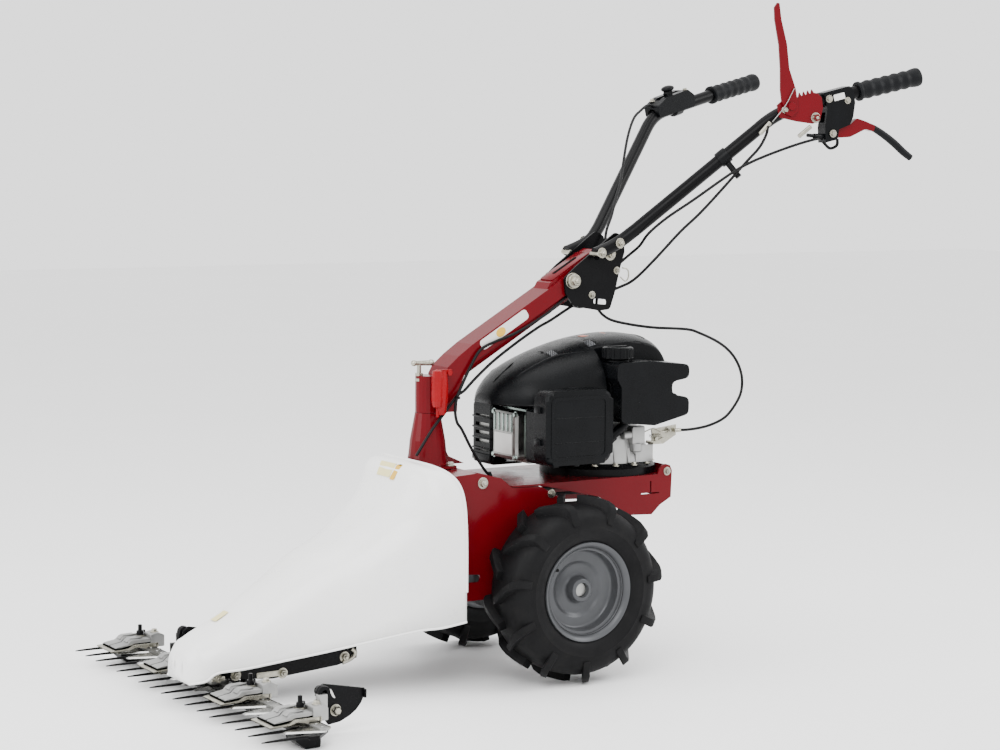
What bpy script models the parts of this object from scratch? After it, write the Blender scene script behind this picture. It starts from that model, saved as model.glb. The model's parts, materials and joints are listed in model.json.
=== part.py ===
"""A walk-behind brush mower: a two-wheeled, engine-driven tractor with a reciprocating cutter bar.

World frame, in metres: +X forward to the cutter bar, +Y to the machine's left, +Z up, with the
floor at z = 0 and the origin under the axle.
"""

import math

import bmesh
import bpy
from mathutils import Matrix, Vector

# ---------------------------------------------------------------- driving dimensions
GAP = 0.0003
FINGER_PITCH = 0.0508
FINGER_COUNT = 17
KNIFE_STROKE = FINGER_PITCH
FINGER_TIP_X = 0.7504
BAR_REAR_X = 0.617
BAR_FRONT_X = 0.668
BAR_TOP_Z = 0.034
BAR_BOTTOM_Z = 0.022
BAR_HALF = FINGER_PITCH * FINGER_COUNT / 2
CLAMP_Y = (-0.352, -0.154, 0.136, 0.327)
RIGHT_SKID_SHIFT = 0.082
SKID_Y = 0.3145
SKID_PIVOT = (0.597, 0.076)

WHEEL_RADIUS = 0.175
WHEEL_Y = 0.185
RIM_FLANGE_RADIUS = 0.0924
HUB_BORE_RADIUS = 0.0135
AXLE_RADIUS = 0.0125
LUG_COUNT = 11

FRAME_HALF = 0.118
SHEET = 0.004
DECK_TOP_Z = 0.364
ENGINE_X = -0.175
ENGINE_BASE_RADIUS = 0.113
TANK_NECK_X = -0.146

POST_X = 0.2085
SWIVEL_Z = 0.497
ARM_HALF = 0.0295
PLATE_INNER_Y = 0.0325
PLATE_THICKNESS = 0.004
HEIGHT_PIVOT = (-0.089, 0.737)
HEIGHT_LOCK = (-0.175, 0.787)

TUBE_RADIUS = 0.0125
HANDLE_BEND = Vector((-0.440, 0.203, 1.058))
GRIP_START = Vector((-0.6125, 0.237, 1.102))
GRIP_END = Vector((-0.7475, 0.2615, 1.1335))
BLADE_LEVER_U, BLADE_LEVER_V = 0.026, 0.008
CLUTCH_LEVER_U, CLUTCH_LEVER_V = 0.104, -0.0645
THUMB_U, THUMB_V = 0.054, 0.0235

COLOURS = {
    "red_paint": ((0.42, 0.012, 0.02), 0.28, 0.0),
    "black_paint": ((0.018, 0.018, 0.02), 0.35, 0.0),
    "black_plastic": ((0.02, 0.021, 0.024), 0.45, 0.0),
    "white_plastic": ((0.82, 0.82, 0.80), 0.35, 0.0),
    "red_plastic": ((0.62, 0.02, 0.02), 0.35, 0.0),
    "tyre_rubber": ((0.02, 0.02, 0.021), 0.8, 0.0),
    "rubber": ((0.02, 0.02, 0.021), 0.7, 0.0),
    "grip_rubber": ((0.025, 0.027, 0.03), 0.7, 0.0),
    "rim_grey": ((0.11, 0.115, 0.12), 0.4, 0.6),
    "steel": ((0.55, 0.55, 0.54), 0.35, 1.0),
    "zinc": ((0.70, 0.68, 0.62), 0.35, 1.0),
    "aluminium": ((0.62, 0.62, 0.61), 0.45, 1.0),
    "cast_iron": ((0.10, 0.10, 0.105), 0.6, 0.8),
    "cable_black": ((0.015, 0.015, 0.016), 0.5, 0.0),
}


# ---------------------------------------------------------------- modelling helpers
def clear_scene():
    for thing in list(bpy.data.objects):
        bpy.data.objects.remove(thing, do_unlink=True)


def paint(colour):
    """The Principled material of that name, made the first time it is asked for."""
    if colour in bpy.data.materials:
        return bpy.data.materials[colour]
    base, roughness, metallic = COLOURS[colour]
    material = bpy.data.materials.new(colour)
    material.use_nodes = True
    shader = material.node_tree.nodes["Principled BSDF"]
    shader.inputs["Base Color"].default_value = (*base, 1.0)
    shader.inputs["Roughness"].default_value = roughness
    shader.inputs["Metallic"].default_value = metallic
    return material


def solid(points, faces):
    """An object from points and faces, with its faces turned to point out."""
    mesh = bpy.data.meshes.new("solid")
    mesh.from_pydata([tuple(p) for p in points], [], faces)
    shape = bmesh.new()
    shape.from_mesh(mesh)
    bmesh.ops.recalc_face_normals(shape, faces=shape.faces)
    shape.to_mesh(mesh)
    shape.free()
    thing = bpy.data.objects.new("solid", mesh)
    bpy.context.scene.collection.objects.link(thing)
    return thing


def prism(outline, low, high, axis="Y"):
    """An outline pushed along an axis: (x, z) points along Y, (x, y) along Z, or (y, z) along X."""
    place = {
        "X": lambda a, b, c: (c, a, b),
        "Y": lambda a, b, c: (a, c, b),
        "Z": lambda a, b, c: (a, b, c),
    }[axis]
    count = len(outline)
    points = [place(a, b, level) for level in (low, high) for a, b in outline]
    faces = [list(range(count)), list(range(count, 2 * count))]
    faces += [[i, (i + 1) % count, (i + 1) % count + count, i + count] for i in range(count)]
    return solid(points, faces)


def box(x0, x1, y0, y1, z0, z1):
    return prism([(x0, y0), (x1, y0), (x1, y1), (x0, y1)], z0, z1, "Z")


def soft_box(x0, x1, y0, y1, z0, z1, edge, segments=2):
    """A box with rounded edges."""
    thing = box(x0, x1, y0, y1, z0, z1)
    shape = bmesh.new()
    shape.from_mesh(thing.data)
    bmesh.ops.bevel(
        shape, geom=shape.edges[:], offset=edge, segments=segments, affect="EDGES", profile=0.5
    )
    shape.to_mesh(thing.data)
    shape.free()
    return thing


def rounded(outline, radius, steps=3):
    """The outline with each corner replaced by a short arc."""
    result = []
    count = len(outline)
    for i, (x, y) in enumerate(outline):
        here = Vector((x, y))
        back = Vector(outline[i - 1]) - here
        ahead = Vector(outline[(i + 1) % count]) - here
        angle = back.angle(ahead)
        reach = min(radius / math.tan(angle / 2), 0.45 * back.length, 0.45 * ahead.length)
        start = here + back.normalized() * reach
        end = here + ahead.normalized() * reach
        for step in range(steps + 1):
            t = step / steps
            result.append(tuple(start.lerp(here, t).lerp(here.lerp(end, t), t)))
    return result


def frame_along(direction):
    """A rotation whose Z runs along direction."""
    return Vector(direction).to_track_quat("Z", "Y").to_matrix().to_4x4()


def turned(profile, centre=(0, 0, 0), axis=(0, 0, 1), sides=24, start=0.0):
    """A closed loop of (radius, height) points turned about an axis. Radius 0 is on the axis."""
    points = []
    rings = []
    for radius, height in profile:
        if radius == 0:
            rings.append([len(points)] * sides)
            points.append(Vector((0, 0, height)))
            continue
        rings.append(list(range(len(points), len(points) + sides)))
        for i in range(sides):
            angle = start + 2 * math.pi * i / sides
            points.append(Vector((radius * math.cos(angle), radius * math.sin(angle), height)))
    faces = []
    for k, ring in enumerate(rings):
        following = rings[(k + 1) % len(rings)]
        for i in range(sides):
            j = (i + 1) % sides
            corners = dict.fromkeys([ring[i], ring[j], following[j], following[i]])
            if len(corners) > 2:
                faces.append(list(corners))
    place = Matrix.Translation(centre) @ frame_along(axis)
    return solid([place @ p for p in points], faces)


def rod(start, end, radius, sides=12):
    start, end = Vector(start), Vector(end)
    length = (end - start).length
    profile = [(0, 0), (radius, 0), (radius, length), (0, length)]
    return turned(profile, start, end - start, sides)


def smooth_route(knots, steps):
    """Points on a smooth curve through the knots (Catmull-Rom)."""
    knots = [Vector(k) for k in knots]
    padded = [2 * knots[0] - knots[1]] + knots + [2 * knots[-1] - knots[-2]]
    route = []
    for i in range(1, len(padded) - 2):
        a, b, c, d = padded[i - 1 : i + 3]
        for step in range(steps):
            t = step / steps
            route.append(
                0.5 * (2 * b + (c - a) * t + (2 * a - 5 * b + 4 * c - d) * t**2
                       + (3 * b - a - 3 * c + d) * t**3)
            )
    return route + [knots[-1]]


def pipe(route, radius, sides=10):
    """A round bar swept along a route, with flat ends."""
    points = []
    side = Vector((0, 1, 0))
    for i, here in enumerate(route):
        along = (route[min(i + 1, len(route) - 1)] - route[max(i - 1, 0)]).normalized()
        side = (side - along * side.dot(along)).normalized()
        up = along.cross(side)
        for k in range(sides):
            angle = 2 * math.pi * k / sides
            points.append(here + radius * (math.cos(angle) * side + math.sin(angle) * up))
    faces = [list(range(sides)), list(range(len(points) - sides, len(points)))]
    for i in range(len(route) - 1):
        for k in range(sides):
            a, b = i * sides + k, i * sides + (k + 1) % sides
            faces.append([a, b, b + sides, a + sides])
    return solid(points, faces)


def arch_shell(stations, thickness, arc=12, open_start=False):
    """A thin vault. Each station is (x, half width, bottom z, top z, slant, squareness).

    The slant moves the section's top forward. The vault is open below, closed at its last
    station, and closed at its first one unless open_start is set.
    """

    def section(station, inset, shift):
        x, half, low, high, slant, power = station
        half, top = half - inset, high - inset
        row = []
        for j in range(arc + 1):
            angle = math.pi * j / arc
            c, s = math.cos(angle), math.sin(angle)
            y = half * math.copysign(abs(c) ** (2 / power), c)
            rise = abs(s) ** (2 / power) if 0 < j < arc else 0.0
            row.append(Vector((x + shift + slant * s**6, y, low + (top - low) * rise)))
        return row

    count = len(stations)
    sign = 1 if stations[-1][0] > stations[0][0] else -1
    outer = [section(s, 0, 0) for s in stations]
    inner = []
    for i, station in enumerate(stations):
        closed_here = (i == 0 and not open_start) or i == count - 1
        shift = 0
        if closed_here:
            shift = thickness * (sign if i == 0 else -sign)
        inner.append(section(station, thickness, shift))
    width = arc + 1
    points = [p for rows in (outer, inner) for row in rows for p in row]
    base = count * width
    faces = []
    for i in range(count - 1):
        for j in range(arc):
            a = i * width + j
            faces.append([a, a + 1, a + 1 + width, a + width])
            faces.append([base + a, base + a + width, base + a + 1 + width, base + a + 1])
        for j in (0, arc):
            a = i * width + j
            faces.append([a, a + width, base + a + width, base + a])
    last = (count - 1) * width
    faces.append([last + j for j in range(width)])
    faces.append([base + last + j for j in range(width)])
    faces.append([last, last + arc, base + last + arc, base + last])
    if open_start:
        faces += [[j, j + 1, base + j + 1, base + j] for j in range(arc)]
    else:
        faces.append(list(range(width)))
        faces.append([base + j for j in range(width)])
        faces.append([0, arc, base + arc, base])
    return solid(points, faces)


def boolean(target, tools, operation):
    """Unites the tools with the target, or cuts them from it, and removes them."""
    for tool in tools:
        step = target.modifiers.new("step", "BOOLEAN")
        step.operation = operation
        step.solver = "EXACT"
        step.object = tool
        graph = bpy.context.evaluated_depsgraph_get()
        mesh = bpy.data.meshes.new_from_object(target.evaluated_get(graph))
        target.modifiers.clear()
        target.data = welded(mesh)
        bpy.data.objects.remove(tool, do_unlink=True)
    return target


def welded(mesh):
    """The mesh with coincident corners merged."""
    shape = bmesh.new()
    shape.from_mesh(mesh)
    bmesh.ops.remove_doubles(shape, verts=shape.verts, dist=0.00002)
    bmesh.ops.dissolve_degenerate(shape, dist=0.00001, edges=shape.edges)
    shape.to_mesh(mesh)
    shape.free()
    return mesh


def fuse(target, *tools):
    return boolean(target, tools, "UNION")


def carve(target, *tools):
    return boolean(target, tools, "DIFFERENCE")


def mirrored(thing):
    """A copy of the object on the other side of the machine's middle plane."""
    mesh = thing.data.copy()
    shape = bmesh.new()
    shape.from_mesh(mesh)
    bmesh.ops.transform(shape, matrix=Matrix.Scale(-1, 4, (0, 1, 0)), verts=shape.verts)
    bmesh.ops.reverse_faces(shape, faces=shape.faces)
    shape.to_mesh(mesh)
    shape.free()
    copy = bpy.data.objects.new("mirrored", mesh)
    bpy.context.scene.collection.objects.link(copy)
    return copy


def finish(thing, name, colour, smooth_angle=35):
    """Names a finished piece, paints it and shades its round faces smooth."""
    thing.name = name
    thing.data.name = name
    thing.data.materials.clear()
    thing.data.materials.append(paint(colour))
    thing.data.polygons.foreach_set("material_index", [0] * len(thing.data.polygons))
    thing.data.shade_smooth()
    thing.data.set_sharp_from_angle(angle=math.radians(smooth_angle))
    return thing


def pair(thing, name, colour):
    """A left piece and its mirror image on the right."""
    copy = mirrored(thing)
    finish(thing, name + "_left", colour)
    finish(copy, name + "_right", colour)


def moved(thing, matrix):
    thing.data.transform(matrix)
    return thing


# ---------------------------------------------------------------- wheels and axle
def tyre():
    """A hollow carcass on the rim, with slanted traction lugs."""
    carcass = [
        (0.0812, 0.0440), (0.0930, 0.0462), (0.1040, 0.0550), (0.1360, 0.0560), (0.1560, 0.0420),
        (0.1600, 0.0),
    ]
    cavity = [(0.1500, 0.0), (0.1460, 0.0370), (0.1160, 0.0460), (0.0812, 0.0340)]
    profile = carcass + [(r, -t) for r, t in reversed(carcass[:-1])]
    profile += [(r, -t) for r, t in reversed(cavity[1:])] + cavity
    body = turned(profile, (0, WHEEL_Y, WHEEL_RADIUS), (0, 1, 0), 24, math.pi / 2)
    lugs = []
    half_angle = math.radians(5)
    for side in (-1, 1):
        for k in range(LUG_COUNT):
            middle = -math.pi / 2 + half_angle + 2 * math.pi * (k + 0.25 * (side + 1)) / LUG_COUNT
            lugs.append(tread_lug(middle, side, half_angle))
    return fuse(body, *lugs)


def tread_lug(middle, side, half_angle):
    """One lug: it leans back from the middle of the tread out to the shoulder."""
    sweep = math.radians(13)
    points = []
    for across, lean, low, high in (
        (-0.002, 0.0, 0.150, WHEEL_RADIUS),
        (0.054, sweep, 0.136, WHEEL_RADIUS - 0.006),
    ):
        for radius in (low, high):
            for edge in (-half_angle, half_angle):
                angle = middle + lean + edge
                points.append(
                    (radius * math.cos(angle), WHEEL_Y + side * across,
                     WHEEL_RADIUS + radius * math.sin(angle))
                )
    ring = [0, 1, 3, 2]
    faces = [ring, [i + 4 for i in ring]]
    faces += [[ring[i], ring[(i + 1) % 4], ring[(i + 1) % 4] + 4, ring[i] + 4] for i in range(4)]
    return solid(points, faces)


def wheel_rim():
    """Deep-dish pressed rim with its hub tube."""
    profile = [
        (RIM_FLANGE_RADIUS, 0.052), (RIM_FLANGE_RADIUS, 0.047), (0.0800, 0.0445),
        (0.0800, -0.0445), (RIM_FLANGE_RADIUS, -0.047), (RIM_FLANGE_RADIUS, -0.052),
        (0.0745, -0.042), (0.0745, 0.004), (0.0220, 0.000), (0.0220, -0.030),
        (HUB_BORE_RADIUS, -0.030), (HUB_BORE_RADIUS, 0.030), (0.0220, 0.030), (0.0240, 0.008),
        (0.0480, 0.008), (0.0560, 0.014), (0.0745, 0.014), (0.0745, 0.042),
    ]
    return turned(profile, (0, WHEEL_Y, WHEEL_RADIUS), (0, 1, 0), 24, math.pi / 2)


def wheels():
    pair(tyre(), "tyre", "tyre_rubber")
    pair(wheel_rim(), "wheel_rim", "rim_grey")
    end = WHEEL_Y + 0.022
    axle = rod((0, -end, WHEEL_RADIUS), (0, end, WHEEL_RADIUS), AXLE_RADIUS, 20)
    finish(axle, "axle_shaft", "steel")
    gear = turned(
        [(0.0129, -0.010), (0.0450, -0.010), (0.0450, 0.010), (0.0129, 0.010)],
        (0, 0, WHEEL_RADIUS), (0, 1, 0), 20,
    )
    finish(gear, "worm_wheel", "cast_iron")


# ---------------------------------------------------------------- chassis
FRAME_OUTLINE = [
    (0.254, 0.388), (0.246, 0.166), (0.215, 0.156), (-0.070, 0.156), (-0.070, 0.300),
    (0.030, 0.3585), (0.0935, 0.3605), (0.118, 0.380), (0.166, 0.393),
]
INPUT_SHAFT_X = 0.0568


def chassis_frame():
    """The red front frame: two side plates under a folded top and front."""
    body = prism(rounded(FRAME_OUTLINE, 0.010), -FRAME_HALF, FRAME_HALF)
    hollow = [
        (0.250, 0.384), (0.242, 0.150), (-0.080, 0.150), (-0.080, 0.400), (0.020, 0.400),
        (0.026, 0.3545), (0.0950, 0.3565), (0.120, 0.376), (0.166, 0.389),
    ]
    inside = prism(hollow, SHEET - FRAME_HALF, FRAME_HALF - SHEET)
    window = prism(rounded([(0.196, 0.190), (0.196, 0.206), (0.163, 0.204), (0.163, 0.190)], 0.006),
                   -0.2, 0.2)
    axle_hole = rod((0, -0.2, WHEEL_RADIUS), (0, 0.2, WHEEL_RADIUS), 0.020, 16)
    blade_hole = rod((POST_X, 0, 0.36), (POST_X, 0, 0.42), 0.010, 12)
    return carve(body, inside, window, axle_hole, blade_hole)


def engine_deck():
    """The red rear deck: a pressed channel with ears, a slot in each side and a crankshaft hole."""
    outline = [
        (0.0932, 0.3640), (-0.236, 0.3640), (-0.240, 0.3740), (-0.246, 0.3810), (-0.256, 0.3830),
        (-0.265, 0.3800), (-0.270, 0.3700), (-0.268, 0.3180), (-0.243, 0.3050),
        (-0.223, 0.2870), (-0.169, 0.2895), (-0.100, 0.3300), (0.026, 0.3598), (0.0932, 0.3614),
    ]
    body = prism(outline, -FRAME_HALF, FRAME_HALF)
    inside = prism(
        [(0.0960, 0.3600), (-0.264, 0.3600), (-0.264, 0.2700), (0.0960, 0.2700)],
        SHEET - FRAME_HALF, FRAME_HALF - SHEET,
    )
    above = box(-0.264, -0.05, SHEET - FRAME_HALF, FRAME_HALF - SHEET, DECK_TOP_Z, 0.40)
    crank_hole = rod((ENGINE_X, 0, 0.34), (ENGINE_X, 0, 0.40), 0.024, 20)
    slot_upright = box(-0.2215, -0.2185, -0.2, 0.2, 0.329, 0.352)
    slot_level = box(-0.240, -0.198, -0.2, 0.2, 0.327, 0.3295)
    return carve(body, inside, above, crank_hole, slot_upright, slot_level)


def gearbox_housing():
    """Hollow housing round the worm drive, open where its two shafts pass."""
    body = soft_box(-0.058, 0.084, -0.046, 0.046, 0.112, 0.262, 0.012)
    inside = box(-0.050, 0.076, -0.038, 0.038, 0.120, 0.254)
    bosses = [
        rod((0, side * 0.040, WHEEL_RADIUS), (0, side * 0.109, WHEEL_RADIUS), 0.026, 16)
        for side in (-1, 1)
    ]
    neck = rod((INPUT_SHAFT_X, 0, 0.250), (INPUT_SHAFT_X, 0, 0.280), 0.020, 16)
    fuse(body, neck, *bosses)
    axle_hole = rod((0, -0.15, WHEEL_RADIUS), (0, 0.15, WHEEL_RADIUS), AXLE_RADIUS + GAP, 20)
    shaft_hole = rod((INPUT_SHAFT_X, 0, 0.2), (INPUT_SHAFT_X, 0, 0.3), 0.0083, 16)
    return carve(body, inside, axle_hole, shaft_hole)


def input_shaft():
    """The upright worm shaft."""
    profile = [
        (0, 0.135), (0.008, 0.135), (0.008, 0.150), (0.011, 0.152), (0.011, 0.198), (0.008, 0.200),
        (0.008, 0.318), (0, 0.318),
    ]
    return turned(profile, (INPUT_SHAFT_X, 0, 0), (0, 0, 1), 16)


def pulley(x, radius, low, width, bore, sides=18):
    """A grooved pulley with a bore."""
    lip = radius + 0.006
    profile = [
        (bore, 0), (lip, 0), (radius, width / 2 - 0.003), (radius, width / 2 + 0.003), (lip, width),
        (bore, width),
    ]
    return turned(profile, (x, 0, low), (0, 0, 1), sides)


def blade_pulley():
    """The blade drive's pulley, in one piece with its upright shaft."""
    lip = BLADE_PULLEY_RADIUS + 0.006
    profile = [
        (0, 0.236), (0.0085, 0.236), (0.0085, 0.318), (lip, 0.318), (BLADE_PULLEY_RADIUS, 0.325),
        (BLADE_PULLEY_RADIUS, 0.331), (lip, 0.338), (0.0085, 0.338), (0.0085, 0.3920), (0, 0.3920),
    ]
    return turned(profile, (POST_X, 0, 0), (0, 0, 1), 18)


def double_pulley():
    """The crankshaft's pulley: one groove for each belt."""
    groove, lip, bore = CRANK_PULLEY_RADIUS, CRANK_PULLEY_RADIUS + 0.006, 0.0128
    profile = [(bore, 0.285)]
    for low in (0.285, 0.318):
        profile += [(lip, low), (groove, low + 0.006), (groove, low + 0.014), (lip, low + 0.020)]
        if low < 0.3:
            profile += [(0.020, low + 0.020), (0.020, low + 0.033)]
    profile.append((bore, 0.338))
    return turned(profile, (ENGINE_X, 0, 0), (0, 0, 1), 18)


def belt(start_x, start_radius, end_x, end_radius, low, high, thickness):
    """A closed belt round two pulleys."""

    def loop(extra):
        reach = end_x - start_x
        lean = math.asin((start_radius - end_radius) / reach)
        points = []
        for centre, radius, first, last in (
            (start_x, start_radius + extra, math.pi / 2 - lean, 3 * math.pi / 2 + lean),
            (end_x, end_radius + extra, -math.pi / 2 + lean, math.pi / 2 - lean),
        ):
            for i in range(9):
                angle = first + (last - first) * i / 8
                points.append((centre + radius * math.cos(angle), radius * math.sin(angle)))
        return points

    outer, inner = loop(thickness), loop(0)
    count = len(outer)
    points = [(x, y, z) for z in (low, high) for ring in (outer, inner) for x, y in ring]
    faces = []
    for i in range(count):
        j = (i + 1) % count
        faces.append([i, j, j + count, i + count])
        faces.append([i + 2 * count, j + 2 * count, j + 3 * count, i + 3 * count])
        faces.append([i, j, j + 2 * count, i + 2 * count])
        faces.append([i + count, j + count, j + 3 * count, i + 3 * count])
    return solid(points, faces)


TENSIONER_PIVOT = (0.045, 0.080)
CRANK_PULLEY_RADIUS = 0.030
TRACTION_PULLEY_RADIUS = 0.048
BLADE_PULLEY_RADIUS = 0.027


def chassis():
    finish(chassis_frame(), "chassis_frame", "red_paint")
    finish(engine_deck(), "engine_deck", "red_paint")
    finish(gearbox_housing(), "gearbox_housing", "cast_iron")


def drives():
    """Crankshaft, pulleys, belts and the shafts that they turn."""
    crank = turned(
        [
            (0, 0.270), (0.0125, 0.270), (0.0125, 0.480), (0.066, 0.482), (0.070, 0.498),
            (0.055, 0.504), (0.030, 0.520), (0, 0.520),
        ],
        (ENGINE_X, 0, 0), (0, 0, 1), 24,
    )
    finish(crank, "crankshaft", "cast_iron")
    finish(double_pulley(), "crank_pulley", "steel")
    finish(input_shaft(), "input_shaft", "steel")
    finish(pulley(INPUT_SHAFT_X, TRACTION_PULLEY_RADIUS, 0.285, 0.020, 0.0083), "traction_pulley", "steel")
    finish(blade_pulley(), "blade_pulley", "steel")
    slack = 0.0016
    finish(belt(ENGINE_X, CRANK_PULLEY_RADIUS + slack, INPUT_SHAFT_X, TRACTION_PULLEY_RADIUS + slack,
                0.2925, 0.2975, 0.008), "traction_belt", "rubber")
    finish(belt(ENGINE_X, CRANK_PULLEY_RADIUS + slack, POST_X, BLADE_PULLEY_RADIUS + slack,
                0.3255, 0.3305, 0.008), "blade_belt", "rubber")
    finish(belt_tensioner(), "belt_tensioner", "steel")


def belt_tensioner():
    """Idler roller on an arm whose pin hangs from the frame's roof."""
    pivot_x, pivot_y = TENSIONER_PIVOT
    arm = prism(
        [(pivot_x + 0.006, pivot_y - 0.006), (pivot_x + 0.006, pivot_y + 0.006),
         (-0.006, pivot_y + 0.004), (-0.006, pivot_y - 0.008)], 0.262, 0.268, "Z")
    pin = rod((pivot_x, pivot_y, 0.263), (pivot_x, pivot_y, 0.3540), 0.004, 8)
    roller = turned([(0, 0.263), (0.005, 0.263), (0.005, 0.284), (0.016, 0.284), (0.016, 0.304),
                     (0, 0.304)], (0.0, pivot_y - 0.002, 0), (0, 0, 1), 14)
    return fuse(arm, pin, roller)


# ---------------------------------------------------------------- cutter bar and its drive
DRIVE_X = 0.632


def bar_carrier():
    """Black casting from the frame to the cutter bar, with its two side rails."""
    rails = []
    for side in (-1, 1):
        outline = [(0.390, 0.062), (0.390, 0.092), (0.640, 0.078), (0.678, 0.067), (0.684, 0.058),
                   (0.640, 0.050), (0.560, 0.042), (0.430, 0.052)]
        rails.append(prism(outline, side * 0.056 - 0.004, side * 0.056 + 0.004))
    spine = prism(
        [(0.2467, 0.170), (0.2488, 0.230), (0.300, 0.222), (0.420, 0.130), (0.470, 0.088),
         (0.590, 0.082), (0.590, 0.060), (0.455, 0.060), (0.390, 0.090)], -0.026, 0.026)
    cross = box(0.440, 0.470, -0.060, 0.060, 0.060, 0.080)
    front = box(0.600, 0.660, -0.060, 0.060, 0.0620, 0.0700)
    feet = [box(0.602, 0.612, *sorted((side * 0.036, side * 0.056)), BAR_TOP_Z + GAP, 0.066)
            for side in (-1, 1)]
    arm = box(0.585, 0.605, -0.020, 0.020, 0.0622, 0.082)
    body = fuse(spine, cross, *rails, front, *feet, arm)
    shaft_hole = rod((DRIVE_X, 0, 0.05), (DRIVE_X, 0, 0.12), 0.0123, 16)
    return carve(body, shaft_hole)


def knife_crank():
    """The blade drive's last shaft: an upright spindle and its eccentric pin."""
    spindle = turned([(0, 0.0525), (0.031, 0.0525), (0.031, 0.0580), (0.012, 0.0580), (0.012, 0.0712),
                      (0.022, 0.0712), (0.022, 0.0800), (0, 0.0800)], (DRIVE_X, 0, 0), (0, 0, 1), 16)
    pin_x = DRIVE_X + KNIFE_STROKE / 2
    pin = rod((pin_x, 0, 0.0465), (pin_x, 0, 0.0545), 0.004, 10)
    return fuse(spindle, pin)


def cutter_bar():
    """The comb: back strip, long fingers and the two end shoes that run on the ground."""
    low, high = BAR_BOTTOM_Z, BAR_TOP_Z
    end = BAR_HALF - 0.0129
    rear_end = end - 0.034
    comb = [(BAR_REAR_X, -rear_end), (0.650, -end)]
    for i in range(FINGER_COUNT):
        y = -BAR_HALF + FINGER_PITCH * (i + 0.5)
        comb += [(BAR_FRONT_X, y - 0.0125), (BAR_FRONT_X + 0.012, y - 0.0048),
                 (FINGER_TIP_X, y - 0.0016), (FINGER_TIP_X, y + 0.0016),
                 (BAR_FRONT_X + 0.012, y + 0.0048), (BAR_FRONT_X, y + 0.0125)]
    comb += [(0.650, end), (BAR_REAR_X, rear_end)]
    bar = prism(comb, low, low + 0.006, "Z")
    back = box(BAR_REAR_X, 0.6215, -rear_end, rear_end, low + 0.004, high)
    seat = box(0.598, 0.6200, -0.070, 0.070, low, high)
    shoes = []
    for side in (-1, 1):
        y0, y1 = sorted((side * (BAR_HALF - 0.080), side * (BAR_HALF - 0.042)))
        outline = [(0.634, 0.0), (0.662, 0.0), (0.679, 0.014), (0.679, 0.0268), (0.632, 0.0268)]
        shoes.append(prism(outline, y0, y1))
    return fuse(bar, back, seat, *shoes, *right_skid_bracket())


def knife():
    """The sliding knife: a back strip, triangular sections and the yoke that drives it."""
    low = BAR_BOTTOM_Z + 0.006 + GAP
    outline = [(0.6225, -BAR_HALF + 0.030)]
    for i in range(FINGER_COUNT - 1):
        y = -BAR_HALF + FINGER_PITCH * (i + 1)
        outline += [(0.640, y - 0.0250), (0.6985, y - 0.0050), (0.6985, y + 0.0050),
                    (0.640, y + 0.0250)]
    outline.append((0.6225, BAR_HALF - 0.030))
    blade = prism(outline, low, low + 0.003, "Z")
    strip = box(0.6225, 0.641, -BAR_HALF + 0.030, BAR_HALF - 0.030, low + 0.001, low + 0.007)
    yoke = box(0.6260, 0.662, -0.020, 0.020, low + 0.003, 0.0455)
    return fuse(blade, strip, yoke)


def knife_clamp(y):
    """One hold-down: a stepped lower plate, a stepped arm, its rear boss and its stud."""
    plate = prism(
        [(0.614, 0.0345), (0.652, 0.0375), (0.664, 0.0395), (0.676, 0.0355), (0.714, 0.0335),
         (0.714, 0.0375), (0.678, 0.0395), (0.668, 0.0455), (0.614, 0.0455)],
        y - 0.038, y + 0.038)
    arm = prism(
        [(0.618, 0.0450), (0.664, 0.0450), (0.674, 0.0395), (0.698, 0.0370), (0.700, 0.0420),
         (0.678, 0.0460), (0.670, 0.0530), (0.618, 0.0540)],
        y - 0.030, y + 0.030)
    boss = prism(
        rounded([(0.604, 0.036), (0.632, 0.036), (0.632, 0.060), (0.618, 0.063), (0.604, 0.058)],
                0.006, 2), y, y + 0.034)
    stud = rod((0.640, y, 0.050), (0.640, y, 0.0755), 0.004, 8)
    nut = rod((0.640, y, 0.052), (0.640, y, 0.062), 0.009, 6)
    body = fuse(plate, arm, boss, nut, stud)
    below = box(0.580, 0.720, y - 0.06, y + 0.06, 0.0, BAR_TOP_Z + GAP)
    knife_room = box(0.6222, 0.6415, y - 0.06, y + 0.06, 0.0, 0.0362)
    return carve(body, below, knife_room)


def skid():
    """Left height-setting runner: a plate that turns on the pin beside the outer clamp."""
    outline = [(0.606, 0.068), (0.604, 0.083), (0.591, 0.0875), (0.513, 0.072), (0.511, 0.066),
               (0.519, 0.048), (0.529, 0.036), (0.542, 0.027), (0.560, 0.019), (0.582, 0.016),
               (0.592, 0.030), (0.594, 0.060)]
    plate = prism(outline, SKID_Y, SKID_Y + 0.004)
    bolt = rod((0.569, SKID_Y + 0.002, 0.040), (0.569, SKID_Y + 0.012, 0.040), 0.008, 6)
    px, pz = SKID_PIVOT
    hole = rod((px, SKID_Y - 0.01, pz), (px, SKID_Y + 0.01, pz), 0.0050, 14)
    return carve(fuse(plate, bolt), hole)


def skid_bracket():
    """Bush, web and headed pin on the left outer clamp that carry the skid."""
    px, pz = SKID_PIVOT
    bush = rod((px, SKID_Y + 0.0045, pz), (px, SKID_Y + 0.0190, pz), 0.011, 14)
    web = box(px - 0.0055, px + 0.0120, SKID_Y + 0.0065, SKID_Y + 0.0220, 0.050, pz - 0.002)
    pin = rod((px, SKID_Y - 0.0030, pz), (px, SKID_Y + 0.0060, pz), 0.0046, 14)
    head = rod((px, SKID_Y - 0.0040, pz), (px, SKID_Y - 0.0005, pz), 0.0090, 14)
    return fuse(bush, web, pin, head)


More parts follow.
